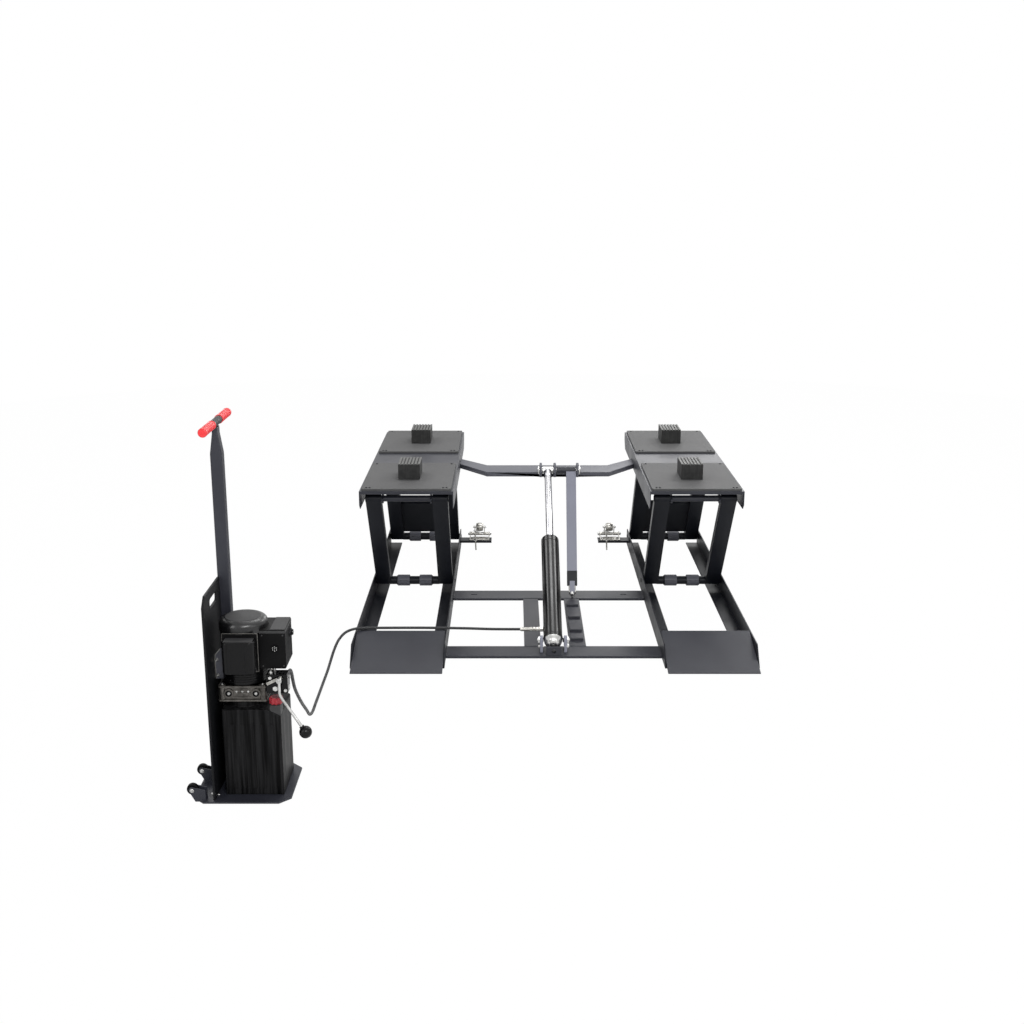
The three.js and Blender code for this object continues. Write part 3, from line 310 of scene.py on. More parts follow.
def cube(first, second):
    low = Vector(map(min, first, second))
    high = Vector(map(max, first, second))
    part = bmesh.new()
    bmesh.ops.create_cube(part, size=1)
    bmesh.ops.scale(part, vec=high - low, verts=part.verts)
    bmesh.ops.translate(part, vec=(low + high) / 2, verts=part.verts)
    return part


def block(bm, first, second, edge, steps=2, place=Matrix()):
    part = cube(first, second)
    roundEdges(part, part.edges[:], edge, steps)
    merge(bm, part, place)


def cornered(bm, first, second, corner, cornerSteps, rim, rimSteps, place=Matrix()):
    # A block with wide radii on its upright corners and small ones on its rims
    part = cube(first, second)
    level = 0.000001
    roundEdges(part, [e for e in part.edges if rise(e) > level], corner, cornerSteps)
    rims = [e for e in part.edges if rise(e) < level and e.calc_face_angle(0) > 1]
    roundEdges(part, rims, rim, rimSteps)
    merge(bm, part, place)


def rod(bm, start, end, radius, edge=0.0, steps=32):
    length = (Vector(end) - Vector(start)).length
    part = bmesh.new()
    bmesh.ops.create_cone(
        part, cap_ends=True, segments=steps, radius1=radius, radius2=radius, depth=length)
    bmesh.ops.translate(part, vec=(0, 0, length / 2), verts=part.verts)
    if edge:
        roundEdges(part, [e for e in part.edges if rise(e) < length / 2], edge)
    merge(bm, part, aim(start, end))


def stack(bm, start, along, rods):
    # Rods on one axis, each from and to a distance along it, with its radius, edge and sides
    start = Vector(start)
    along = Vector(along).normalized()
    for near, far, radius, edge, steps in rods:
        rod(bm, start + along * near, start + along * far, radius, edge, steps)


def turn(bm, profile, place=Matrix(), steps=48):
    # A profile of radius and height, spun about Z
    part = bmesh.new()
    verts = [part.verts.new((r, 0, z)) for r, z in profile]
    edges = [part.edges.new(pair) for pair in zip(verts, verts[1:])]
    bmesh.ops.spin(
        part, geom=verts + edges, cent=(0, 0, 0), axis=(0, 0, 1), angle=2 * math.pi,
        steps=steps, use_merge=True)
    bmesh.ops.remove_doubles(part, verts=part.verts, dist=0.000001)
    bmesh.ops.recalc_face_normals(part, faces=part.faces)
    merge(bm, part, place)


def arc(middle, radius, start, end, steps):
    # Points of an arc in a profile, between two angles in degrees
    turns = [math.radians(start + (end - start) * i / steps) for i in range(steps + 1)]
    return [(middle[0] + radius * math.cos(t), middle[1] + radius * math.sin(t)) for t in turns]


def wall(radius, low, high, edge, steps):
    # The outside of a turned piece, with both its corners rounded
    foot = arc((radius - edge, low + edge), edge, -90, 0, steps)
    return foot + arc((radius - edge, high - edge), edge, 0, 90, steps)


def bolt(bm, start, along, size, washer=1.35):
    # A head on a washer, standing on start, with the end of its thread showing
    stack(bm, start, along, [
        (0, size * 0.25, size * washer, size * 0.06, 24), (size * 0.25, size, size, size * 0.12, 6),
        (size, size * 1.3, size * 0.5, size * 0.08, 16)])


def screw(bm, start, along, size):
    # A low round head with a socket in it
    start = Vector(start)
    high = size * 0.55
    profile = [(0, 0), (size, 0), (size, high * 0.55), (size * 0.8, high), (size * 0.45, high)]
    profile += [(size * 0.4, high * 0.35), (0, high * 0.35)]
    turn(bm, profile, aim(start, start + Vector(along).normalized()), 20)


def ring(bm, start, end, outer, inner, edge=0.001, steps=48):
    long = (Vector(end) - Vector(start)).length
    profile = [(inner, 0)] + wall(outer, 0, long, edge, 2) + [(inner, long), (inner, 0)]
    turn(bm, profile, aim(start, end), steps)


def collar(bm, start, along, measures):
    # A ring standing on start: its height, outer and inner radius, edge and sides
    high, outer, inner, edge, steps = measures
    ring(bm, start, Vector(start) + Vector(along) * high, outer, inner, edge, steps)


def drawOut(points, shift):
    # A flat outline drawn out by shift, and the faces at its far end
    part = bmesh.new()
    face = part.faces.new([part.verts.new(p) for p in points])
    grown = bmesh.ops.extrude_face_region(part, geom=[face])["geom"]
    bmesh.ops.translate(part, vec=shift, verts=[g for g in grown if isinstance(g, bmesh.types.BMVert)])
    return part, [g for g in grown if isinstance(g, bmesh.types.BMFace)]


def slab(bm, points, shift, edge):
    part, top = drawOut(points, shift)
    bmesh.ops.recalc_face_normals(part, faces=part.faces)
    roundEdges(part, [e for e in part.edges if e.calc_face_angle(0) > math.radians(40)], edge)
    merge(bm, part)


def strap(bm, start, end, half, shift, edge):
    # A flat strip between two points of an upright plane that faces the front
    up = Vector((0, 1, 0)).cross((end - start).normalized()) * half
    slab(bm, [start - up, start + up, end + up, end - up], shift, edge)


def ball(bm, middle, radius, steps):
    part = bmesh.new()
    bmesh.ops.create_uvsphere(part, u_segments=steps * 2, v_segments=steps, radius=radius)
    merge(bm, part, Matrix.Translation(middle))


def bead(bm, start, end, radius):
    # A weld bead: a round string with ripples
    start = Vector(start)
    end = Vector(end)
    length = (end - start).length
    ripples = max(2, round(length / (radius * 1.3)))
    profile = [(0, 0)]
    for i in range(ripples):
        profile.append((radius, length * (i + 0.35) / ripples))
        profile.append((radius * 0.8, length * (i + 0.95) / ripples))
    turn(bm, profile + [(0, length)], aim(start, end), 8)


def finishPiece(name, bm, finish, body, stands=(), sharp=34):
    mesh = bpy.data.meshes.new(name)
    bm.to_mesh(mesh)
    bm.free()
    mesh.materials.append(finishes[finish])
    mesh.shade_smooth()
    mesh.set_sharp_from_angle(angle=math.radians(sharp))
    piece = bpy.data.objects.new(name, mesh)
    bpy.context.scene.collection.objects.link(piece)
    weighted = piece.modifiers.new("weighted", "WEIGHTED_NORMAL")
    weighted.keep_sharp = True
    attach(piece, body)
    if stands:
        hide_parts(*stands)
    return piece


def soften(node, body, finish, width):
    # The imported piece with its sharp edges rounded; edges beside short ones stay as they are
    bm = bmesh.new()
    bm.from_mesh(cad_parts[node].data)
    bmesh.ops.remove_doubles(bm, verts=bm.verts, dist=0.00002)
    bmesh.ops.dissolve_limit(bm, angle_limit=math.radians(1), verts=bm.verts, edges=bm.edges)
    room = width * 2.6
    roomy = [
        e for e in bm.edges
        if len(e.link_faces) == 2 and e.calc_face_angle(0) > math.radians(32)
        and all(near.calc_length() > room for vert in e.verts for near in vert.link_edges)]
    roundEdges(bm, roomy, width)
    finishPiece(f"{node}_finished", bm, finish, body, [node])


# Hose: one smooth curve through the route, straight out of its outlet and into its fitting
hose = {
    "radius": 0.006, "sides": 14, "steps": 8, "length": 2.26,
    "route": [
        (-0.96, -2.0764, 0.42), (-0.96, -2.056, 0.42), (-0.9605, -2.036, 0.416),
        (-0.961, -2.016, 0.403), (-0.962, -1.998, 0.383), (-0.963, -1.978, 0.355),
        (-0.964, -1.95, 0.318), (-0.965, -1.905, 0.276), (-0.966, -1.856, 0.236),
        (-0.969, -1.781, 0.182), (-0.975, -1.65, 0.097), (-0.981, -1.55, 0.035),
        (-0.984, -1.465, 0.0095), (-0.985, -1.37, 0.0068), (-0.985, -1.24, 0.0068),
        (-0.985, -1.11, 0.0068), (-0.984, -1.02, 0.01), (-0.981, -0.95, 0.025),
        (-0.973, -0.89, 0.052), (-0.958, -0.836, 0.08), (-0.932, -0.787, 0.097),
        (-0.895, -0.754, 0.101), (-0.845, -0.737, 0.099), (-0.77, -0.733, 0.098),
        (-0.684, -0.732, 0.098), (-0.59, -0.732, 0.098), (-0.481, -0.732, 0.097),
        (-0.38, -0.732, 0.095), (-0.28, -0.731, 0.0915), (-0.2, -0.73, 0.0905),
        (-0.1494, -0.73, 0.0905)],
    "port": (-0.0451, -0.73, 0.0905), "outlet": (-0.96, -2.1007, 0.42),
    "ferrule": [
        (0, 0.01768, 0.0118, 0.001, 6), (0.0208, 0.0312, 0.0105, 0.001, 6),
        (0.03536, 0.04576, 0.0105, 0.001, 6), (0.04992, 0.06032, 0.0098, 0.001, 6),
        (0.00104, 0.10296, 0.0072, 0.001, 24), (0.0624, 0.104, 0.009, 0.0015, 28)],
    "crimps": [0.07072, 0.07904, 0.08736, 0.09568], "crimpIn": 0.0088, "crimpOut": 0.0094,
    "union": [
        (0, 0.01008, 0.0108, 0.001, 6), (0.0096, 0.01488, 0.0082, 0.0005, 24),
        (0.0144, 0.024, 0.0095, 0.0012, 24)],
}


def smoothRoute(points, steps):
    # Centripetal Catmull-Rom curve, its ends carried on in a straight line
    points = [Vector(p) for p in points]
    points = [points[0] * 2 - points[1]] + points + [points[-1] * 2 - points[-2]]
    path = []
    for a, b, c, d in zip(points, points[1:], points[2:], points[3:]):
        before = math.sqrt((b - a).length)
        across = math.sqrt((c - b).length)
        after = math.sqrt((d - c).length)
        leave = ((b - a) / before - (c - a) / (before + across) + (c - b) / across) * across
        reach = ((c - b) / across - (d - b) / (across + after) + (d - c) / after) * across
        for i in range(steps):
            t = i / steps
            path.append(
                b * (2 * t ** 3 - 3 * t ** 2 + 1) + leave * (t ** 3 - 2 * t ** 2 + t)
                + c * (3 * t ** 2 - 2 * t ** 3) + reach * (t ** 3 - t ** 2))
    path.append(points[-2])
    return path


def sweep(bm, path, radius, sides):
    # A ring is drawn out along the path; the map holds turns round it and metres along it
    share = bm.verts.layers.float.new("round")
    along = bm.verts.layers.float.new("along")
    heading = path[1] - path[0]
    turned = heading.to_track_quat("Z", "Y")
    spot = Matrix.Translation(path[0]) @ turned.to_matrix().to_4x4()
    made = bmesh.ops.create_circle(bm, radius=radius, segments=sides, matrix=spot)["verts"]
    for i, vert in enumerate(made):
        vert[share] = i / sides
    edges = bm.edges[:]
    travelled = 0.0
    for i, point in enumerate(path[1:], 1):
        onward = path[min(i + 1, len(path) - 1)] - path[i - 1]
        turned = heading.rotation_difference(onward) @ turned
        heading = onward
        travelled += (point - path[i - 1]).length
        nextSpot = Matrix.Translation(point) @ turned.to_matrix().to_4x4()
        grown = bmesh.ops.extrude_edge_only(bm, edges=edges)["geom"]
        verts = [g for g in grown if isinstance(g, bmesh.types.BMVert)]
        fresh = set(verts)
        edges = [g for g in grown if isinstance(g, bmesh.types.BMEdge) and set(g.verts) <= fresh]
        bmesh.ops.transform(bm, matrix=nextSpot @ spot.inverted(), verts=verts)
        for vert in verts:
            vert[along] = travelled
        spot = nextSpot
    bmesh.ops.holes_fill(bm, edges=[e for e in bm.edges if e.is_boundary])
    bmesh.ops.recalc_face_normals(bm, faces=bm.faces)
    wrap = bm.loops.layers.uv.new("wrap")
    for face in bm.faces:
        shares = [vert[share] for vert in face.verts]
        seam = max(shares) > 0.75 and min(shares) < 0.25
        for loop in face.loops:
            around = loop.vert[share]
            loop[wrap].uv = (around + 1 if seam and around < 0.5 else around, loop.vert[along])
    return travelled


def makeHose(h):
    bm = bmesh.new()
    path = smoothRoute(h.route, h.steps)
    run = sweep(bm, path, h.radius, h.sides)
    cover = finishPiece("hose_cover", bm, "braid", "base", ["hose"], 60)
    print("hose length:", round(run, 4))

    bm = bmesh.new()
    out = Vector((-1, 0, 0))
    stack(bm, h.port, out, h.ferrule)
    crimp = [(h.crimpIn, -0.002), (h.crimpOut, -0.001), (h.crimpOut, 0.001), (h.crimpIn, 0.002)]
    for reach in h.crimps:
        spot = Vector(h.port) + out * reach
        turn(bm, crimp + crimp[:1], aim(spot, spot + out), 28)
    fitting = finishPiece("hose_fitting_swaged", bm, "zinc", "base", ["hose_fitting"])

    bm = bmesh.new()
    stack(bm, h.outlet, (0, 1, 0), h.union)
    outlet = finishPiece("hose_outlet_union", bm, "bolt", "base", ["hose_outlet"])


makeHose(Named(**hose))
print("hose laid")


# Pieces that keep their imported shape, their edges rounded: end of the node's name, body, finish, radius
soft = [
    ("cross_member", "base", "sheet", 0.0012), ("tie_plate", "base", "sheet", 0.0012),
    ("ladder_plate", "base", "sheet", 0.0012), ("tow_socket", "base", "sheet", 0.0015),
    ("base_frame", "base", "paint", 0.0015), ("ramp", "base", "sheet", 0.0014),
    ("caster_shelf", "base", "paint", 0.001), ("caster_bracket", "base", "zinc", 0.0007),
    # The cart's side plate takes the darker coat, which is painted shade
    ("cart_floor_plate", "base", "sheet", 0.001), ("cart_side_plate", "base", "shade", 0.0012),
    # The motor bracket takes the lighter coat, which is painted light
    ("handle_post", "base", "sheet", 0.0045), ("motor_bracket", "base", "bar", 0.0006),
    ("oil_tank", "base", "tank", 0.0035), ("control_box", "base", "plastic", 0.0014),
    ("front_leg_frame", "front_legs", "paint", 0.0018), ("rear_leg_frame", "rear_legs", "paint", 0.0018),
    # The cross bar takes the lighter coat, which is painted light
    ("deck", "platform", "sheet", 0.0012), ("cross_bar", "platform", "bar", 0.0018),
    ("traction_plate", "platform", "mat", 0.002), ("rubber_block", "platform", "rubber", 0.0016),
    ("lock_leg", "lock", "pale", 0.002), ("left_caster_fork", "left_caster", "zinc", 0.0006),
    ("right_caster_fork", "right_caster", "zinc", 0.0006),
]
for ending, body, finish, width in soft:
    for node in sorted(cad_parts):
        if node.endswith(ending):
            soften(node, body, finish, width)
print("steel and covers finished")


# Hydraulic cylinder: barrel with its welded foot, silver base cap, gland and chrome rod
cylinder = {
    "foot": (-0.002, -0.788, 0.06), "head": (-0.002, 0.249062, 0.604951),
    "radius": 0.0425, "bore": 0.0355, "length": 0.65, "baseWall": 0.05, "edge": 0.003,
    "gland": 0.034, "glandGap": 0.0003, "glandEdge": 0.0005, "chamfer": 0.0068,
    "dish": [(0.0045, 0), (0.003, -0.003), (0, -0.003)],
    "lip": [(0, -0.0028), (0.0026, -0.0028), (0.0022, 0.0002), (0, 0.0016)],
    "screws": 4, "screwRing": 0.0323, "screwZ": (-0.001, 0.0008), "screw": 0.003,
    "cap": 0.041, "capLift": 0.0006, "weld": 0.014, "shaft": 0.018, "fit": 0.0006, "piston": 0.034,
    "pistonLow": 0.556, "pistonHigh": 0.596, "collar": 0.0202, "collarLow": 1.118, "collarRise": 0.004,
    "shaftTop": 1.16, "eye": 0.019, "eyeBore": 0.0131, "eyeHalf": 0.028,
    "eyeWeld": (0, -0.018, -0.0082), "eyeWeldHalf": 0.0154, "eyeBead": 0.0028,
    "port": (-0.0425, -0.73, 0.0905), "boss": 0.0165, "bossHigh": 0.0022,
}


def makeCylinder(c):
    place = aim(c.foot, c.head)
    top = c.length - c.gland
    bm = bmesh.new()
    shell = [(0, 0)] + wall(c.radius, 0, top, c.edge, 3)
    turn(bm, shell + [(c.bore, top), (c.bore, c.baseWall), (0, c.baseWall)], place, 96)
    seam = arc((c.radius - c.edge * 0.3, c.weld), c.edge * 0.8, -90, 90, 6)
    turn(bm, seam + [(c.radius - c.edge, c.weld), seam[0]], place, 96)
    stack(bm, c.port, (-1, 0, 0), [(-c.edge, c.bossHigh, c.boss, 0.0008, 32)])
    finishPiece("cylinder_barrel", bm, "tube", "tube", ["cylinder_tube"])

    bm = bmesh.new()
    turn(bm, arc((0, -c.capLift), c.cap, -90, 0, 20) + [(0, -c.capLift)], place, 64)
    finishPiece("cylinder_base_cap", bm, "bright", "tube")

    bm = bmesh.new()
    inner = c.shaft + c.fit
    low = top + c.glandGap
    nut = [(inner, low), (c.radius - c.glandEdge, low), (c.radius, low + c.glandEdge)]
    nut += arc((c.radius - c.chamfer, c.length - c.chamfer), c.chamfer, 0, 90, 6)
    nut += [(inner + r, c.length + z) for r, z in c.dish]
    turn(bm, nut + nut[:1], place, 96)
    for i in range(c.screws):
        around = place @ Matrix.Rotation(2 * math.pi * (i + 0.5) / c.screws, 4, "Z")
        low, high = [around @ Vector((c.screwRing, 0, c.length + z)) for z in c.screwZ]
        rod(bm, low, high, c.screw, 0.0003, 16)
    finishPiece("gland_nut_turned", bm, "tube", "tube", ["gland_nut"])
    bm = bmesh.new()
    lip = [(inner + r, c.length + z) for r, z in c.lip]
    turn(bm, lip + lip[:1], place, 64)
    finishPiece("rod_wiper", bm, "rubber", "tube")

    bm = bmesh.new()
    shaft = [(0, c.pistonLow), (c.piston, c.pistonLow), (c.piston, c.pistonHigh)]
    shaft += [(c.shaft, c.pistonHigh), (c.shaft, c.collarLow - c.collarRise)]
    shaft += [(c.collar, c.collarLow), (c.collar, c.shaftTop), (0, c.shaftTop)]
    turn(bm, shaft, place, 64)
    finishPiece("piston_rod_chromed", bm, "chrome", "rod", ["piston_rod"])
    bm = bmesh.new()
    middle = Vector(c.head)
    half = Vector((c.eyeHalf, 0, 0))
    ring(bm, middle - half, middle + half, c.eye, c.eyeBore, 0.002, 56)
    seam = middle + Vector(c.eyeWeld)
    half = Vector((c.eyeWeldHalf, 0, 0))
    bead(bm, seam - half, seam + half, c.eyeBead)
    finishPiece("rod_eye", bm, "bright", "rod")


makeCylinder(Named(**cylinder))


# Top pin through the three ears, with a washer and a nut at both ends
pin = {
    "y": 0.249062, "z": 0.604951, "radius": 0.0125, "ears": [(-0.044, -0.054), (0.157, 0.167)],
    "nut": 0.0205, "washer": 0.0235, "seat": 0.0003, "rim": 0.0023, "thread": 0.0018,
}


def makeTopPin(p):
    bm = bmesh.new()
    left, right = [(tip, p.y, p.z) for ear, tip in p.ears]
    rod(bm, left, right, p.radius, 0.0015, 40)
    for ear, tip in p.ears:
        stack(bm, (ear, p.y, p.z), (tip - ear, 0, 0), [
            (p.seat, p.rim, p.washer, 0.0004, 36), (p.rim, abs(tip - ear) - p.thread, p.nut, 0.0012, 6)])
    finishPiece("top_pin_nutted", bm, "bright", "platform", ["top_pin"])


makeTopPin(Named(**pin))


# Lock leg's toe: a dark fork with silver cheeks, a bright ball and its pin
toe = {
    "pivot": (0, 0.249062, 0.604951), "angle": 62.3, "reach": 0.634, "left": 0.093, "right": 0.143,
    "forkStart": 0.53, "forkEnd": 0.6045, "deep": 0.0148, "tipDeep": 0.0108, "grow": 0.0006,
    "cheek": 0.0125, "cheekX": 0.0128, "cheekThick": 0.004, "stem": (0.602, 0.63), "stemX": 0.0137,
    "stemRadius": 0.0042, "ball": 0.014, "ballLow": 0.01, "tipLong": 0.024, "tipRadius": 0.0045,
    "sleeve": 0.0176, "sleeveBore": 0.0158, "sleeveLeft": 0.0425, "sleeveRight": 0.1426,
}


def makeToe(t):
    slope = math.radians(t.angle)
    down = Vector((0, -math.cos(slope), -math.sin(slope)))
    across = Vector((0, math.sin(slope), -math.cos(slope)))

    def spot(along, side, x):
        return Vector(t.pivot) + down * along + across * side + Vector((x, 0, 0))

    bm = bmesh.new()
    left = t.left - t.grow
    lines = [(t.forkStart, -t.deep), (t.forkEnd, -t.tipDeep)]
    lines += [(along, -side) for along, side in reversed(lines)]
    slab(bm, [spot(along, side, left) for along, side in lines], (t.right + t.grow - left, 0, 0), 0.0015)
    finishPiece("lock_fork", bm, "paint", "lock")
    bm = bmesh.new()
    ring(bm, spot(0, 0, t.sleeveLeft), spot(0, 0, t.sleeveRight), t.sleeve, t.sleeveBore, 0.0005)
    finishPiece("lock_sleeve", bm, "sheet", "lock")
    bm = bmesh.new()
    middle = (t.left + t.right) / 2
    for side in (-1, 1):
        low, high = [spot(along, 0, middle + side * t.stemX) for along in t.stem]
        rod(bm, low, high, t.stemRadius, 0.001, 20)
        start = spot(t.reach, 0, middle + side * t.cheekX)
        stack(bm, start, (side, 0, 0), [(0, t.cheekThick, t.cheek, 0.0008, 32)])
    finishPiece("lock_cheeks", bm, "zinc", "lock")
    bm = bmesh.new()
    low = spot(t.reach + t.ballLow, 0, middle)
    ball(bm, low, t.ball, 24)
    stack(bm, low, (0, 0, -1), [(0, t.tipLong, t.tipRadius, 0.001, 20)])
    finishPiece("lock_roller", bm, "bright", "lock")


makeToe(Named(**toe))
print("cylinder, pin and lock leg made")


# Fittings on the base: pale ears, trunnion heads, the socket's top and slot, welds and bolts
fittings = {
    "pinY": -0.788, "pinZ": 0.06, "earX": 0.048, "earThick": 0.012, "earRadius": 0.0206,
    "earFoot": 0.0326, "grow": 0.0005, "floor": 0.0123, "head": 0.0168, "headOut": 0.0696,
    "tip": 0.0085, "tipLong": 0.003, "lowY": -0.806, "lowZ": 0.036, "lowSize": 0.0072,
    "socket": (0, -0.853, 0.0491), "socketRun": 0.023, "socketFall": 0.017,
    "socketParts": [
        # The latch slot is a dark block laid on the plate: painted shade standing in for the slot's
        # opening
        ("socket_latch_slot", "shade", 0.009, 0.0026, 0.0003, 0.0021, 0.0003),
        # The socket's top plate takes the lighter coat, which is painted light on its sloped top
        ("socket_top_plate", "bar", 0.0338, 0.0085, -0.0002, 0.0014, 0.0005)],
    "plates": [(-0.1305, -0.0545), (0.0745, 0.1505)], "plateY": (-0.737, -0.0625), "plateWeld": 0.0022,
    "earWeld": 0.0024, "earWeldHalf": 0.02934, "railX": 0.48, "railWelds": [
        (-0.86, -0.74, 0.0123, 0.0026), (-0.06, 0.06, 0.0123, 0.0026), (0.8, 0.862, 0.0568, 0.0024)],
}


def makeFittings(f):
    near = f.earX - f.grow
    far = f.earX + f.earThick + f.grow
    bm = bmesh.new()
    rim = arc((f.pinY, f.pinZ), f.earRadius, 0, 180, 20)
    rim += [(f.pinY - f.earFoot, f.floor), (f.pinY + f.earFoot, f.floor)]
    for side in (-1, 1):
        slab(bm, [(side * near, y, z) for y, z in rim], (side * (far - near), 0, 0), 0.0012)
    finishPiece("trunnion_ears", bm, "pale", "base")

    bm = bmesh.new()
    long = f.headOut - far
    for side in (-1, 1):
        stack(bm, (side * far, f.pinY, f.pinZ), (side, 0, 0), [
            (0, long, f.head, 0.0015, 6), (long, long + f.tipLong, f.tip, 0.001, 24)])
        bolt(bm, (side * far, f.lowY, f.lowZ), (side, 0, 0), f.lowSize)
        bolt(bm, (side * near, f.lowY, f.lowZ), (-side, 0, 0), f.lowSize * 0.6)
    finishPiece("trunnion_heads", bm, "bright", "base")

    tilt = Matrix.Translation(f.socket) @ Matrix.Rotation(-math.atan2(f.socketFall, f.socketRun), 4, "X")
    for name, finish, half, run, low, high, edge in f.socketParts:
        bm = bmesh.new()
        block(bm, (-half, -run, low), (half, run, high), edge, 2, tilt)
        finishPiece(name, bm, finish, "base")

    bm = bmesh.new()
    for start, end in f.plates:
        for y in f.plateY:
            bead(bm, (start, y, f.floor), (end, y, f.floor), f.plateWeld)
    front, rear = [f.pinY + way * f.earWeldHalf for way in (-1, 1)]
    for side in (-1, 1):
        for x in (near * side, far * side):
            bead(bm, (x, front, f.floor), (x, rear, f.floor), f.earWeld)
        for start, end, z, radius in f.railWelds:
            bead(bm, (side * f.railX, start, z), (side * f.railX, end, z), radius)
    finishPiece("base_welds", bm, "sheet", "base")


makeFittings(Named(**fittings))


# Clamps on the knuckles of the leg frames, and the pivot bolts: their heads are low, as skirts pass them
hinge = {
    "shafts": {"front": (0.105, 0.055), "rear": (0.934, 0.055)}, "knuckle": 0.024, "strap": 0.0285,
    "clamps": [(0.6005, 0.6625), (0.7135, 0.7755)], "reach": 0.039, "half": 0.0065,
    "screw": 0.0035, "screwIn": 0.006, "rails": [(0.895, 1, 0.012), (0.481, -1, 0.0096)],
    "uppers": [(-0.282938, 0.588951), (0.546062, 0.588951)], "legs": [(0.492, -1), (0.884, 1)],
    "upperBolt": [(0, 0.001, 0.019, 0.0003, 32), (0, 0.0024, 0.0145, 0.0005, 6)],
}


def makeHinges(h):
    for which, (y, z) in h.shafts.items():
        bm = bmesh.new()
        front = y - h.reach
        for side in (-1, 1):
            for near, far in h.clamps:
                ring(bm, (side * near, y, z), (side * far, y, z), h.strap, h.knuckle, 0.0012, 40)
                high = (side * far, y - h.strap * 0.8, z + h.half)
                block(bm, (side * near, front, z - h.half), high, 0.0015)
                for share in (0.25, 0.75):
                    x = side * (near + (far - near) * share)
                    screw(bm, (x, front + h.screwIn, z + h.half), (0, 0, 1), h.screw)
        # The clamps take the lighter coat, which is painted light
        finishPiece(f"{which}_knuckle_clamps", bm, "bar", f"{which}_legs")
    lows = bmesh.new()
    highs = bmesh.new()
    for side in (-1, 1):
        for y, z in h.shafts.values():
            for x, way, size in h.rails:
                stack(lows, (side * x, y, z), (side * way, 0, 0), [
                    (0, 0.001, size * 1.3, 0.0003, 32), (0.001, 0.003, size, 0.0005, 6)])
        for y, z in h.uppers:
            for x, way in h.legs:
                stack(highs, (side * x, y, z), (side * way, 0, 0), h.upperBolt)
    finishPiece("shaft_bolts", lows, "bolt", "base")
    finishPiece("upper_shaft_rings", highs, "bolt", "platform")


makeHinges(Named(**hinge))


# Decks: screws through the traction plates, weld beads at the cross bar, its ears and the hangers
deckTrim = {
    "near": 0.4725, "far": 0.896, "inset": 0.022, "pitch": 0.016, "top": 0.65525, "size": 0.0052,
    "fronts": [(-0.36294, 0.19206), (0.47006, 1.04006)], "under": 0.6409, "hangers": (0.569, 0.807),
    "hangerY": [(-0.325938, -0.239938), (0.503062, 0.589062)], "weld": 0.0026,
    "barTop": 0.586951, "barX": 0.4618, "barEnd": (0.47, 0.6001), "earWeld": 0.0022,
    "ears": [-0.044, -0.032, 0.028, 0.04, 0.1375, 0.1495], "earY": (0.284, 0.338), "earFall": 0.001,
}


def makeDeckTrim(d):
    bm = bmesh.new()
    for side in (-1, 1):
        for front, rear in d.fronts:
            for x, way in ((d.near, 1), (d.far, -1)):
                inner = x + way * d.inset
                beside = inner + way * d.pitch
                start = front + d.inset
                for across, y in ((inner, start), (inner, rear - d.inset), (beside, start)):
                    screw(bm, (side * across, y, d.top), (0, 0, 1), d.size)
    finishPiece("traction_screws", bm, "bolt", "platform")
    bm = bmesh.new()
    for side in (-1, 1):
        lines = [(d.barX, *d.barEnd, d.barTop)]
        lines += [(x, start, end, d.under) for x in d.hangers for start, end in d.hangerY]
        for x, start, end, z in lines:
            bead(bm, (side * x, start, z), (side * x, end, z), d.weld)
    start, end = d.earY
    for x in d.ears:
        bead(bm, (x, start, d.barTop), (x, end, d.barTop - d.earFall), d.earWeld)
    finishPiece("deck_welds", bm, "sheet", "platform")


makeDeckTrim(Named(**deckTrim))
print("base and deck fittings made")


def wheelProfile(web, tread):
    # One side of a wheel, its tread, its other side, and back to the start
    return web + tread + [(r, -z) for r, z in reversed(web)] + web[:1]


# Transport casters, both built the same way round
caster = {
    "middles": {"left": -0.372, "right": 0.372}, "y": 0.89, "z": 0.082, "axleZ": 0.122,
    "wheel": 0.0245, "bore": 0.0046, "half": 0.02, "crown": 0.0035, "ear": 0.056, "fork": 0.029,
    "nut": 0.0092, "axleNut": 0.0068, "boltX": 0.041, "boltY": 0.826, "boltZ": 0.0713, "bolt": 0.0078,
    "tab": [(-0.0298, 0.783, 0.0713), (-0.0138, 0.806, 0.0743)], "barHalf": 0.005, "barThick": 0.004,
    "bar": [(-0.034, 0.863, 0.108), (0.022, 0.863, 0.086)], "barScrew": 0.0038, "barScrewIn": 0.006,
    "links": (-0.02, 0.012), "linkY": 0.8855, "link": 0.0032,
    "screw": [(-0.023, 0.7895, 0.112), (-0.0218, 0.7895, 0.073), (-0.0195, 0.7895, 0.014)],
    "hook": (-0.046, 0.7895, 0.119), "screwRadius": 0.0042, "thread": 0.0024,
    "screwNut": (0.0015, 0.0085),
}


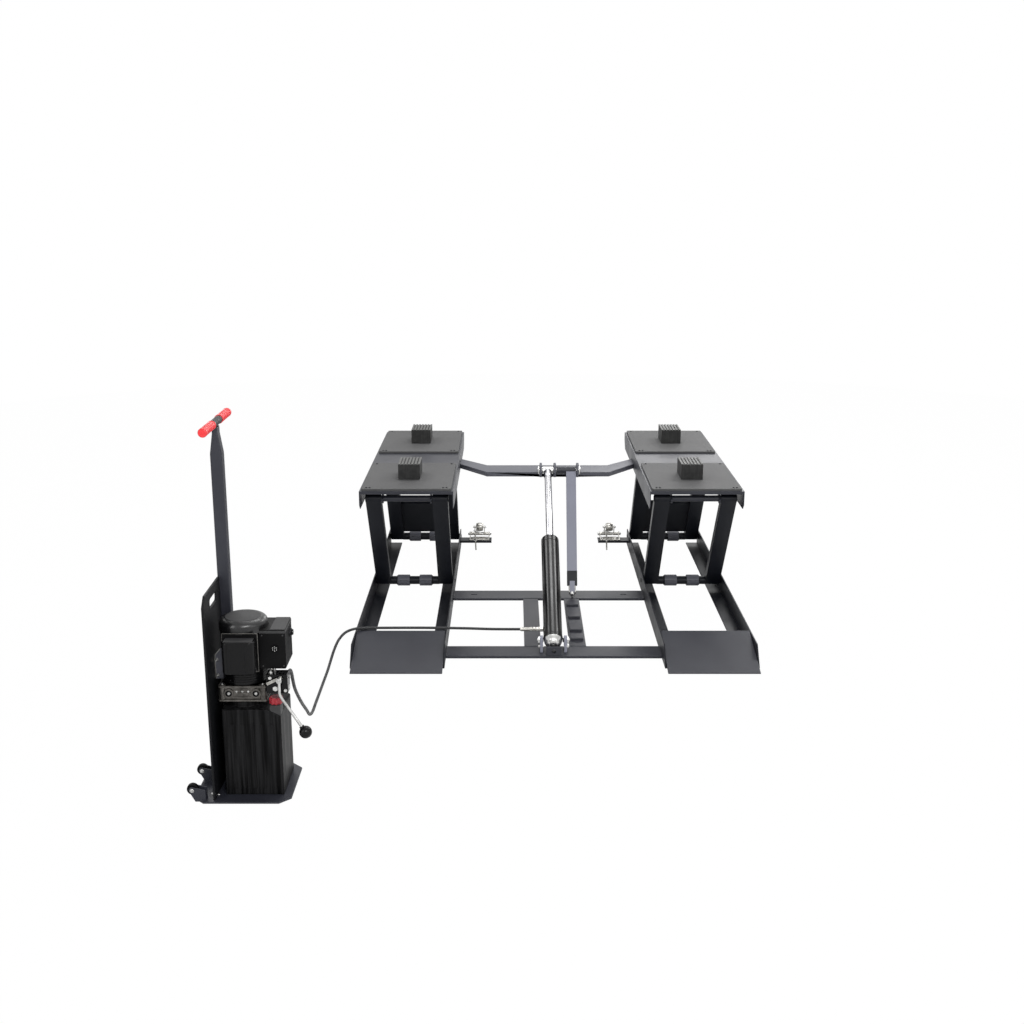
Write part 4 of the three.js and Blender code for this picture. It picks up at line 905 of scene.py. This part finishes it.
def makeCaster(side, c):
    middle = Vector((c.middles[side], 0, 0))

    def at(x, y, z):
        return middle + Vector((x, y, z))

    bm = bmesh.new()
    radius = c.wheel
    half = c.half
    crown = [(radius - c.crown * (abs(i) / 5) ** 2.2, half * i / 5 * 0.92) for i in range(-5, 6)]
    web = [(c.bore, -half), (radius * 0.45, -half), (radius * 0.5, -half * 0.9)]
    web += [(radius * 0.78, -half * 0.9), (radius * 0.82, -half)]
    turn(bm, wheelProfile(web, crown), aim(at(0, c.y, c.axleZ), at(1, c.y, c.axleZ)), 56)
    finishPiece(f"{side}_caster_roller", bm, "zinc", f"{side}_roller", [f"{side}_caster_wheel"])

    bm = bmesh.new()
    for way in (-1, 1):
        bolt(bm, at(way * c.ear, c.y, c.z), (way, 0, 0), c.nut, 1.3)
        bolt(bm, at(way * c.boltX, c.boltY, c.boltZ), (0, 0, 1), c.bolt)
    block(bm, at(*c.tab[0]), at(*c.tab[1]), 0.0006)
    finishPiece(f"{side}_caster_bolts", bm, "bright", "base")

    bm = bmesh.new()
    radius = c.screwRadius
    top, knee, tip = [at(*p) for p in c.screw]
    rod(bm, top, knee, radius, 0.0008, 20)
    rod(bm, top, at(*c.hook), radius, 0.0008, 20)
    ball(bm, top, radius, 10)
    long = (knee - tip).length
    turns = int(long / c.thread)
    pitch = long / turns
    threads = [(pitch * (i + 0.25), pitch * (i + 0.75), radius * 1.03, 0.0006, 16) for i in range(turns)]
    stack(bm, knee, tip - knee, [(0, long, radius * 0.85, 0.0012, 20)] + threads)
    stack(bm, knee, (0, 0, 1), [(*c.screwNut, radius * 1.9, 0.0008, 6)])
    finishPiece(f"{side}_locking_screw", bm, "zinc", "base")

    bm = bmesh.new()
    for way in (-1, 1):
        bolt(bm, at(way * c.fork, c.y, c.axleZ), (way, 0, 0), c.axleNut, 1.3)
    start, end = [at(*p) for p in c.bar]
    strap(bm, start, end, c.barHalf, (0, c.barThick, 0), 0.0008)
    inset = (end - start).normalized() * c.barScrewIn
    for spot in (start + inset, end - inset):
        screw(bm, spot, (0, -1, 0), c.barScrew)
    for x in c.links:
        link = at(x, c.linkY, c.z)
        foot = start.lerp(end, (link.x - start.x) / (end.x - start.x))
        rod(bm, foot + Vector((0, 0.001, 0)), link, c.link, 0.0005, 16)
    finishPiece(f"{side}_fork_bar", bm, "bright", f"{side}_caster")


for side in caster["middles"]:
    makeCaster(side, Named(**caster))
print("casters made")


# Cart: wheels with silver hubs, screws, T-handle with ribbed grips
cart = {
    "wheelX": -1.284, "wheelZ": 0.045, "wheels": {"front": -2.198, "rear": -2.048},
    "wheel": 0.02, "half": 0.009, "tread": 0.004, "bore": 0.0056, "hub": 0.0085,
    "earOut": 0.0152, "nut": 0.0056, "floor": 0.006, "screw": 0.0062,
    "screws": [(-1.2576, -2.1679), (-1.2257, -2.162), (-1.2043, -2.1657)],
    "handle": (-1.1925, -1.94, 1.276), "bar": 0.0105, "barHalf": 0.1867, "collar": 0.0135,
    "collarHalf": 0.0537, "collarEdge": 0.0015, "weldX": 0.01, "weldHalf": 0.009, "weldDrop": 0.0131,
    "weld": 0.0018, "gripIn": 0.054, "gripOut": 0.192, "grip": 0.0142, "rib": 0.0016, "ribs": 13,
    "ribsIn": 0.0075, "ribsOut": 0.0225, "gripEdge": 0.006, "gripFit": 0.0003, "flange": 0.004,
    "flangeFoot": 0.0055, "knobFoot": 0.02, "knob": 0.0185, "gripWall": 0.005, "crestDrop": 0.0004,
}


def makeCart(c):
    half = c.half
    web = [(c.bore, -half * 0.9), (c.hub, -half * 0.9), (c.hub * 1.1, -half * 0.6)]
    web += [(c.wheel * 0.68, -half * 0.6), (c.wheel * 0.74, -half)]
    profile = wheelProfile(web, wall(c.wheel, -half, half, c.tread, 4))
    for which, y in c.wheels.items():
        middle = Vector((c.wheelX, y, c.wheelZ))
        bm = bmesh.new()
        turn(bm, profile, aim(middle, middle + Vector((0, 1, 0))))
        node = f"{which}_cart_wheel"
        finishPiece(f"{node}_moulded", bm, "plastic", f"{which}_wheel", [node])
        bm = bmesh.new()
        for way in (-1, 1):
            bolt(bm, middle + Vector((0, way * c.earOut, 0)), (0, way, 0), c.nut)
        finishPiece(f"{which}_axle_nuts", bm, "bright", "base")
    bm = bmesh.new()
    for x, y in c.screws:
        screw(bm, (x, y, c.floor), (0, 0, 1), c.screw)
    finishPiece("cart_screws", bm, "bright", "base")

    middle = Vector(c.handle)
    place = aim(middle, middle + Vector((0, 1, 0)))
    bm = bmesh.new()
    end = [(0, -c.barHalf), (c.bar, -c.barHalf), (c.bar, -c.collarHalf)]
    hub = wall(c.collar, -c.collarHalf, c.collarHalf, c.collarEdge, 2)
    turn(bm, end + hub + [(r, -z) for r, z in reversed(end)], place)
    for x in (-c.weldX, c.weldX):
        front, rear = [middle + Vector((x, y, -c.weldDrop)) for y in (-c.weldHalf, c.weldHalf)]
        bead(bm, front, rear, c.weld)
    finishPiece("handle_bar_turned", bm, "lid", "base", ["handle_bar"])
    start = c.gripIn
    end = c.gripOut
    fit = c.bar + c.gripFit
    proud = c.grip + c.rib
    crest = proud - c.crestDrop
    grip = [(fit, start), (proud, start), (proud, start + c.flange), (c.grip, start + c.flangeFoot)]
    pitch = (end - start - c.ribsIn - c.ribsOut) / c.ribs
    for i in range(c.ribs):
        low = start + c.ribsIn + pitch * i
        grip += [(c.grip, low), (crest, low + pitch * 0.25)]
        grip += [(crest, low + pitch * 0.5), (c.grip, low + pitch * 0.75)]
    grip += [(c.grip, end - c.knobFoot), (proud, end - c.knob)]
    grip += arc((proud - c.gripEdge, end - c.gripEdge), c.gripEdge, 0, 90, 6)
    grip += [(0, end), (0, end - c.gripWall), (fit, end - c.gripWall), (fit, start)]
    for name, way in (("front_grip", -1), ("rear_grip", 1)):
        bm = bmesh.new()
        turn(bm, [(r, way * z) for r, z in grip], place)
        finishPiece(f"{name}_ribbed", bm, "red", "base", [name])


makeCart(Named(**cart))
print("cart made")


# Motor: grooved casing, rounded cap with a matt top
motor = {
    "place": (-1.107, -2.066, 0), "low": 0.4023, "high": 0.584, "radius": 0.079, "edge": 0.003,
    "grooves": [0.416, 0.424, 0.432, 0.44], "grooveDeep": 0.0012, "grooveHalf": 0.0014,
    "capLow": 0.5843, "capTop": 0.628, "cap": 0.083, "round": 0.022, "lid": 0.0605, "lidDrop": 0.0004,
    "lip": 0.0016, "crown": [(0.0605, 0), (0.0595, 0.0006), (0.03025, 0.0011), (0, 0.0012)],
    "crownLow": 0.001,
}


def makeMotor(m):
    place = Matrix.Translation(m.place)
    bm = bmesh.new()
    casing = [(0, m.low)] + arc((m.radius - m.edge, m.low + m.edge), m.edge, -90, 0, 3)
    deep = m.radius - m.grooveDeep
    for z in m.grooves:
        casing += [(m.radius, z - m.grooveHalf), (deep, z - m.grooveHalf * 0.5)]
        casing += [(deep, z + m.grooveHalf * 0.5), (m.radius, z + m.grooveHalf)]
    turn(bm, casing + [(m.radius, m.high), (0, m.high)], place, 96)
    finishPiece("motor_casing", bm, "black", "base", ["motor_body"])
    bm = bmesh.new()
    top = m.capTop
    shell = [(0, m.capLow), (m.cap - m.lip, m.capLow), (m.cap, m.capLow + m.lip)]
    shell += arc((m.cap - m.round, top - m.round), m.round, 0, 82, 14)
    turn(bm, shell + [(m.lid, top - m.lidDrop), (0, top - m.lidDrop)], place, 112)
    finishPiece("motor_cap_rim", bm, "gloss", "base", ["motor_cap"], 50)
    bm = bmesh.new()
    low = top - m.crownLow
    turn(bm, [(0, low), (m.lid, low)] + [(r, top + z) for r, z in m.crown], place, 96)
    finishPiece("motor_cap_top", bm, "lid", "base")


makeMotor(Named(**motor))


# Capacitor cover on its frame plate, and the control box with its connector and button
covers = {
    "cover": [(-1.161, -2.196, 0.461), (-1.05, -2.128, 0.576)], "corner": 0.02, "edge": 0.0055,
    "ribs": [-1.142, -1.082], "ribWide": 0.013, "ribFront": -2.1974, "ribRear": -2.19,
    "ribLow": 0.469, "ribHigh": 0.568, "plateY": -2.1486, "wire": 0.0008,
    "plate": [(-1.1655, 0.456), (-1.0455, 0.456), (-1.0455, 0.592), (-1.1655, 0.592)],
    "flats": [
        # A paler sheet on the black cover's top face: painted light where the overhead light falls on it
        ("capacitor_cover_top", "lid", (-1.154, -2.189, 0.574), (-1.057, -2.131, 0.5768), 0.0007),
        ("capacitor_plate", "plastic", (-1.1655, -2.1482, 0.456), (-1.0455, -2.146, 0.592), 0.0006),
        ("control_box_lid", "lid", (-1.008, -2.119, 0.594), (-0.958, -1.993, 0.5972), 0.0009)],
    "rims": [
        ((-1.045, -2.1208, 0.5825), (-0.9562, -2.118, 0.592)),
        ((-0.959, -2.119, 0.5825), (-0.9562, -1.993, 0.592))],
    "screwX": (-1.036, -0.965), "screwZ": (0.465, 0.575), "screw": 0.003, "boxFront": -2.12,
    "connector": (-0.9938, -2.1203, 0.528), "shroud": (0.004, 0.0125, 0.0103, 0.0008, 40),
    "shroudFloor": (0, 0.0015, 0.0105, 0.0002, 32), "pins": 6, "pinRing": 0.0072,
    "pin": (0, 0.0036, 0.0017, 0.0005, 14), "key": (0, 0.003, 0.0014, 0.0004, 14),
    "button": (-0.9637, -2.022, 0.552), "buttonRod": (0, 0.018, 0.01, 0.0016, 40),
    "face": (-0.9461, -2.022, 0.552), "faceRing": (0.0012, 0.0058, 0.003, 0.0004, 32),
    "faceDot": (0, 0.0009, 0.0031, 0.0003, 24), "bezel": (-0.9569, -2.022, 0.552),
    "bezelRings": [(0.006, 0.014, 0.0108, 0.0012, 40), (0.0022, 0.0175, 0.0135, 0.0008, 6)],
}


def makeCovers(c):
    bm = bmesh.new()
    cornered(bm, *c.cover, c.corner, 8, c.edge, 4)
    for x in c.ribs:
        block(bm, (x, c.ribFront, c.ribLow), (x + c.ribWide, c.ribRear, c.ribHigh), 0.0028, 4)
    finishPiece("capacitor_cover_moulded", bm, "black", "base", ["capacitor_cover"])
    for name, finish, low, high, edge in c.flats:
        bm = bmesh.new()
        block(bm, low, high, edge)
        finishPiece(name, bm, finish, "base")
    bm = bmesh.new()
    for (x0, z0), (x1, z1) in zip(c.plate, c.plate[1:] + c.plate[:1]):
        rod(bm, (x0, c.plateY, z0), (x1, c.plateY, z1), c.wire, 0, 12)
    finishPiece("capacitor_plate_edge", bm, "wire", "base")

    bm = bmesh.new()
    for low, high in c.rims:
        block(bm, low, high, 0.0006)
    for x in c.screwX:
        for z in c.screwZ:
            screw(bm, (x, c.boxFront, z), (0, -1, 0), c.screw)
    finishPiece("control_box_rim", bm, "lid", "base")

    bm = bmesh.new()
    out = (0, -1, 0)
    collar(bm, c.connector, out, c.shroud)
    stack(bm, c.connector, out, [c.shroudFloor])
    finishPiece("connector_ring", bm, "plastic", "base")
    bm = bmesh.new()
    for i in range(c.pins):
        angle = 2 * math.pi * (i + 0.5) / c.pins
        around = Vector((math.cos(angle), 0, math.sin(angle))) * c.pinRing
        stack(bm, Vector(c.connector) + around, out, [c.pin])
    stack(bm, c.connector, out, [c.key])
    finishPiece("connector_pins", bm, "bright", "base")

    out = (1, 0, 0)
    bm = bmesh.new()
    stack(bm, c.button, out, [c.buttonRod])
    finishPiece("start_button_turned", bm, "plastic", "button", ["start_button"])
    bm = bmesh.new()
    collar(bm, c.face, out, c.faceRing)
    stack(bm, c.face, out, [c.faceDot])
    finishPiece("start_button_face", bm, "bright", "button")
    bm = bmesh.new()
    for measures in c.bezelRings:
        collar(bm, c.bezel, out, measures)
    finishPiece("button_bezel", bm, "bolt", "base")


makeCovers(Named(**covers))


# Valve block: a casting with flanges, corner posts, bosses and ribs on its open sides, and the manifold
valve = {
    "place": (-1.107, -2.066, 0), "open": (0, 2, 3), "corner": 0.007, "rim": 0.0014,
    "layers": [(0.077, 0.347, 0.402), (0.0835, 0.346, 0.3525), (0.0825, 0.3955, 0.402)],
    "corners": [(-0.069, -0.069), (-0.069, 0.069), (0.069, -0.069), (0.069, 0.069)],
    "post": (0.347, 0.404, 0.013, 0.0015, 32), "postTop": 0.404, "postScrew": 0.0065,
    "boss": 0.0172, "bossX": 0.0465, "bossZ": 0.3745, "bossFoot": -0.076, "bossTip": -0.0825,
    "ribs": [0.3615, 0.3745, 0.3875], "ribHalf": 0.0275, "ribThick": 0.0022, "ribY": (-0.0802, -0.075),
    "rowX": (-0.02, 0, 0.02), "rowY": -0.0765, "rowZ": 0.381, "rowScrew": 0.0042,
    "manifold": [(-1.0235, -2.15, 0.376), (-0.95, -2.101, 0.444)],
    "front": [(-0.9925, 0.3945, 0.0075), (-1.009, 0.433, 0.0052), (-0.958, 0.388, 0.005)],
    "right": [(-2.137, 0.396, 0.0085), (-2.115, 0.424, 0.0065)],
    "top": [(-1.0075, -2.14), (-0.9985, -2.118)],
    "topPlug": [(-0.001, 0.009, 0.0058, 0.0008, 6), (0.008, 0.0125, 0.0034, 0.0006, 20)],
}


def makeValve(v):
    casting = bmesh.new()
    screws = bmesh.new()
    wells = bmesh.new()
    place = Matrix.Translation(v.place)
    for reach, low, high in v.layers:
        cornered(casting, (-reach, -reach, low), (reach, reach, high), v.corner, 6, v.rim, 2, place)
    for x, y in v.corners:
        stack(casting, place @ Vector((x, y, 0)), (0, 0, 1), [v.post])
        screw(screws, place @ Vector((x, y, v.postTop)), (0, 0, 1), v.postScrew)
    for quarter in v.open:
        side = place @ Matrix.Rotation(quarter * math.pi / 2, 4, "Z")
        for x in (-v.bossX, v.bossX):
            start, tip = [side @ Vector((x, y, v.bossZ)) for y in (v.bossFoot, v.bossTip)]
            ring(casting, start, tip, v.boss, v.boss * 0.66, 0.0012, 40)
            # A black floor in each boss's bore: painted shade in the recess round its screw
            well = start.lerp(tip, 0.45)
            rod(wells, start, well, v.boss * 0.67, 0.0003)
            screw(screws, well, tip - start, v.boss * 0.34)
        for z in v.ribs:
            low = (-v.ribHalf, v.ribY[0], z - v.ribThick)
            block(casting, low, (v.ribHalf, v.ribY[1], z + v.ribThick), 0.0012, 2, side)
        for x in v.rowX:
            screw(screws, side @ Vector((x, v.rowY, v.rowZ)), tip - start, v.rowScrew)
    finishPiece("valve_casting", casting, "cast", "base", ["valve_block"])
    finishPiece("valve_screws", screws, "bright", "base")
    finishPiece("valve_bore_shade", wells, "plastic", "base")

    bm = bmesh.new()
    block(bm, *v.manifold, 0.0025, 3)
    finishPiece("manifold_casting", bm, "black", "base")
    bm = bmesh.new()
    (_, front, _), (right, _, top) = v.manifold
    for x, z, size in v.front:
        stack(bm, (x, front, z), (0, -1, 0), [
            (-0.001, 0.0035, size * 1.25, 0.0006, 6), (0.0035, 0.005, size * 0.8, 0.0006, 24)])
    for y, z, size in v.right:
        stack(bm, (right, y, z), (1, 0, 0), [(-0.001, 0.0045, size, 0.0008, 6)])
    for x, y in v.top:
        stack(bm, (x, y, top), (0, 0, 1), v.topPlug)
    finishPiece("manifold_plugs", bm, "bright", "base")


makeValve(Named(**valve))


# Valve lever with its ball knob, and the link that it turns on
lever = {
    "hub": (-0.976, -2.167, 0.43), "bend": (-0.976, -2.167, 0.376), "knob": (-0.893, -2.167, 0.242),
    "radius": 0.005, "hubFront": (-0.976, -2.1725, 0.43), "ball": 0.022,
    "hubRods": [(0, 0.0222, 0.0098, 0.0012, 32), (-0.003, 0, 0.0058, 0.0008, 6)],
    "neck": (0.01892, 0.02552, 0.0088, 0.001, 28), "linkHalf": 0.0052, "linkThick": 0.0028,
    "link": [(-0.968, -2.1595, 0.4385), (-1.02, -2.1595, 0.414)], "screw": 0.004,
    "stud": (0.002, 0.0098, 0.0045, 0.0005, 20), "studAt": (-1.014, -2.1595, 0.416),
}


def makeLever(v):
    bm = bmesh.new()
    hub, bend, knob = [Vector(p) for p in (v.hub, v.bend, v.knob)]
    route = [hub, hub.lerp(bend, 0.55), bend.lerp(hub, 0.12), bend.lerp(knob, 0.06), bend.lerp(knob, 0.3)]
    neck = (bend - knob).normalized()
    sweep(bm, smoothRoute(route, 6) + [knob + neck * v.ball * 0.9], v.radius, 20)
    stack(bm, v.hubFront, (0, 1, 0), v.hubRods)
    finishPiece("valve_lever_bent", bm, "bright", "lever", ["valve_lever"])
    bm = bmesh.new()
    ball(bm, knob, v.ball, 28)
    stack(bm, knob, neck, [v.neck])
    finishPiece("lever_ball_knob", bm, "black", "lever", ["lever_knob"])
    bm = bmesh.new()
    start, end = [Vector(p) for p in v.link]
    strap(bm, start, end, v.linkHalf, (0, v.linkThick, 0), 0.0008)
    screw(bm, end.lerp(start, 0.12), (0, -1, 0), v.screw)
    stack(bm, v.studAt, (0, 1, 0), [v.stud])
    finishPiece("lever_link", bm, "zinc", "base")


makeLever(Named(**lever))


# Filler cap with its lobes, its neck block, and the screws and bright edge of the motor's bracket
filler = {
    "x": -0.995, "y": -2.132, "low": 0.3363, "high": 0.3583, "radius": 0.0222, "lobe": 0.0018, "lobes": 9,
    "points": 108, "crownInset": 0.003, "dishInset": 0.005, "dish": 0.0012,
    "neck": [(-1.0135, -2.162, 0.297), (-0.9765, -2.111, 0.3358)], "screwY": -2.1, "screw": 0.0062,
    "screws": [(-1.1975, 0.48), (-1.1975, 0.424)], "edgeFront": -2.101, "edgeThick": 0.0012,
    "bracketEdge": [(-1.2055, 0.4115), (-1.2055, 0.4965), (-1.187, 0.52)], "edgeWide": 0.003,
}


def makeFiller(f):
    bm = bmesh.new()
    outline = []
    for i in range(f.points):
        angle = 2 * math.pi * i / f.points
        reach = f.radius + f.lobe * math.cos(f.lobes * angle)
        outline.append((f.x + reach * math.cos(angle), f.y + reach * math.sin(angle), f.low))
    high = f.high - f.low
    part, top = drawOut(outline, (0, 0, high * 0.86))
    bmesh.ops.inset_region(part, faces=top, thickness=f.crownInset, depth=high * 0.14)
    bmesh.ops.inset_region(part, faces=top, thickness=f.dishInset, depth=-f.dish)
    bmesh.ops.recalc_face_normals(part, faces=part.faces)
    merge(bm, part)
    finishPiece("filler_cap_lobed", bm, "wine", "cap", ["filler_cap"])
    bm = bmesh.new()
    block(bm, *f.neck, 0.0025, 3)
    finishPiece("filler_neck", bm, "lid", "base")
    bm = bmesh.new()
    low, knee, tip = [Vector((x, f.edgeFront, z)) for x, z in f.bracketEdge]
    block(bm, low, knee + Vector((f.edgeWide, f.edgeThick, 0)), 0.0002)
    slope = (tip - knee).normalized()
    inward = Vector((slope.z, 0, -slope.x)) * f.edgeWide
    slab(bm, [knee, knee + inward, tip + inward, tip], (0, f.edgeThick, 0), 0.0002)
    finishPiece("bracket_edge", bm, "zinc", "base")
    bm = bmesh.new()
    for x, z in f.screws:
        screw(bm, (x, f.screwY, z), (0, -1, 0), f.screw)
    finishPiece("bracket_screws", bm, "bright", "base")


makeFiller(Named(**filler))
print("power unit made")


# Pale floor and white surroundings, plain soft light: each lamp's place, target, size and power
light = {
    "world": 0.4, "floor": (0.9, 0.9, 0.9, 1), "floorShow": 0.99, "floorSize": 7.5, "floorDrop": 0.0005,
    "white": (1, 1, 1, 1), "lamps": {
        "overhead": ((0.6, -0.4, 4.5), (0, -0.3, 0), 4.2, 4.2, 43),
        "overhead_key": ((0, 0.8, 4.4), (0, -0.5, 0.2), 1.5, 0.8, 41),
        "rear_left": ((-2.7, 1.4, 3.3), (0, -0.5, 0.2), 1.3, 1.1, 24),
        "rear_right": ((2.7, 1.4, 3.3), (0, -0.5, 0.2), 1.3, 1.1, 40),
        "front_left": ((-3.4, -4.4, 2.1), (-0.6, -0.8, 0.5), 0.6, 2.6, 26),
        "front_right": ((2.9, -4.6, 2.1), (-0.2, -0.6, 0.4), 0.6, 2.6, 18),
        "front_middle": ((0.3, -5.4, 3), (-0.3, -0.6, 0.4), 2, 1.5, 100),
        "rear": ((1.7, 4.6, 2.6), (0.3, 0.4, 0.4), 2.4, 1.6, 40)},
}


def mixOut(nodes, kind, factor, first, second):
    mixed = nodes.node("ShaderNodeMixShader", {}, {0: factor, 1: first, 2: second})
    nodes.node(kind, {}, {"Surface": mixed})


def makeSurroundings(s):
    world = bpy.data.worlds.new("studio")
    bpy.context.scene.world = world
    nodes = Nodes(world)
    nodes.tree.nodes.clear()
    kinds = ("Is Camera Ray", "Is Glossy Ray", "Is Transmission Ray")
    seen, mirrored, through = [nodes.node("ShaderNodeLightPath", {}, {}, kind) for kind in kinds]
    shows = seen.maths("MAXIMUM", seen.maths("MAXIMUM", seen, mirrored), through)
    lit = nodes.node("ShaderNodeBackground", {}, {"Color": s.white, "Strength": s.world})
    shown = nodes.node("ShaderNodeBackground", {}, {"Color": s.white})
    mixOut(nodes, "ShaderNodeOutputWorld", shows, lit, shown)


def makeFloor(s):
    material = bpy.data.materials.new("floor")
    nodes = Nodes(material)
    nodes.tree.nodes.clear()
    seen = nodes.node("ShaderNodeLightPath", {}, {}, "Is Camera Ray") * s.floorShow
    matt = nodes.node("ShaderNodeBsdfDiffuse", {}, {"Color": s.floor})
    mixOut(nodes, "ShaderNodeOutputMaterial", seen, matt, nodes.node("ShaderNodeEmission", {}, {}))
    bm = bmesh.new()
    bmesh.ops.create_circle(bm, cap_ends=True, segments=96, radius=s.floorSize)
    bmesh.ops.translate(bm, vec=(0, 0, -s.floorDrop), verts=bm.verts)
    mesh = bpy.data.meshes.new("floor")
    bm.to_mesh(mesh)
    bm.free()
    mesh.materials.append(material)
    floor = bpy.data.objects.new("floor", mesh)
    bpy.context.scene.collection.objects.link(floor)


def makeLamps(s):
    for name, (place, target, wide, tall, power) in s.lamps.items():
        data = bpy.data.lights.new(name, "AREA")
        data.shape = "RECTANGLE"
        data.size = wide
        data.size_y = tall
        data.energy = power
        lamp = bpy.data.objects.new(name, data)
        lamp.matrix_world = aim(place, Vector(place) * 2 - Vector(target))
        lamp.visible_camera = False
        bpy.context.scene.collection.objects.link(lamp)


for make in (makeSurroundings, makeFloor, makeLamps):
    make(Named(**light))
bpy.context.scene.view_settings.view_transform = "Standard"
print("stage lit")
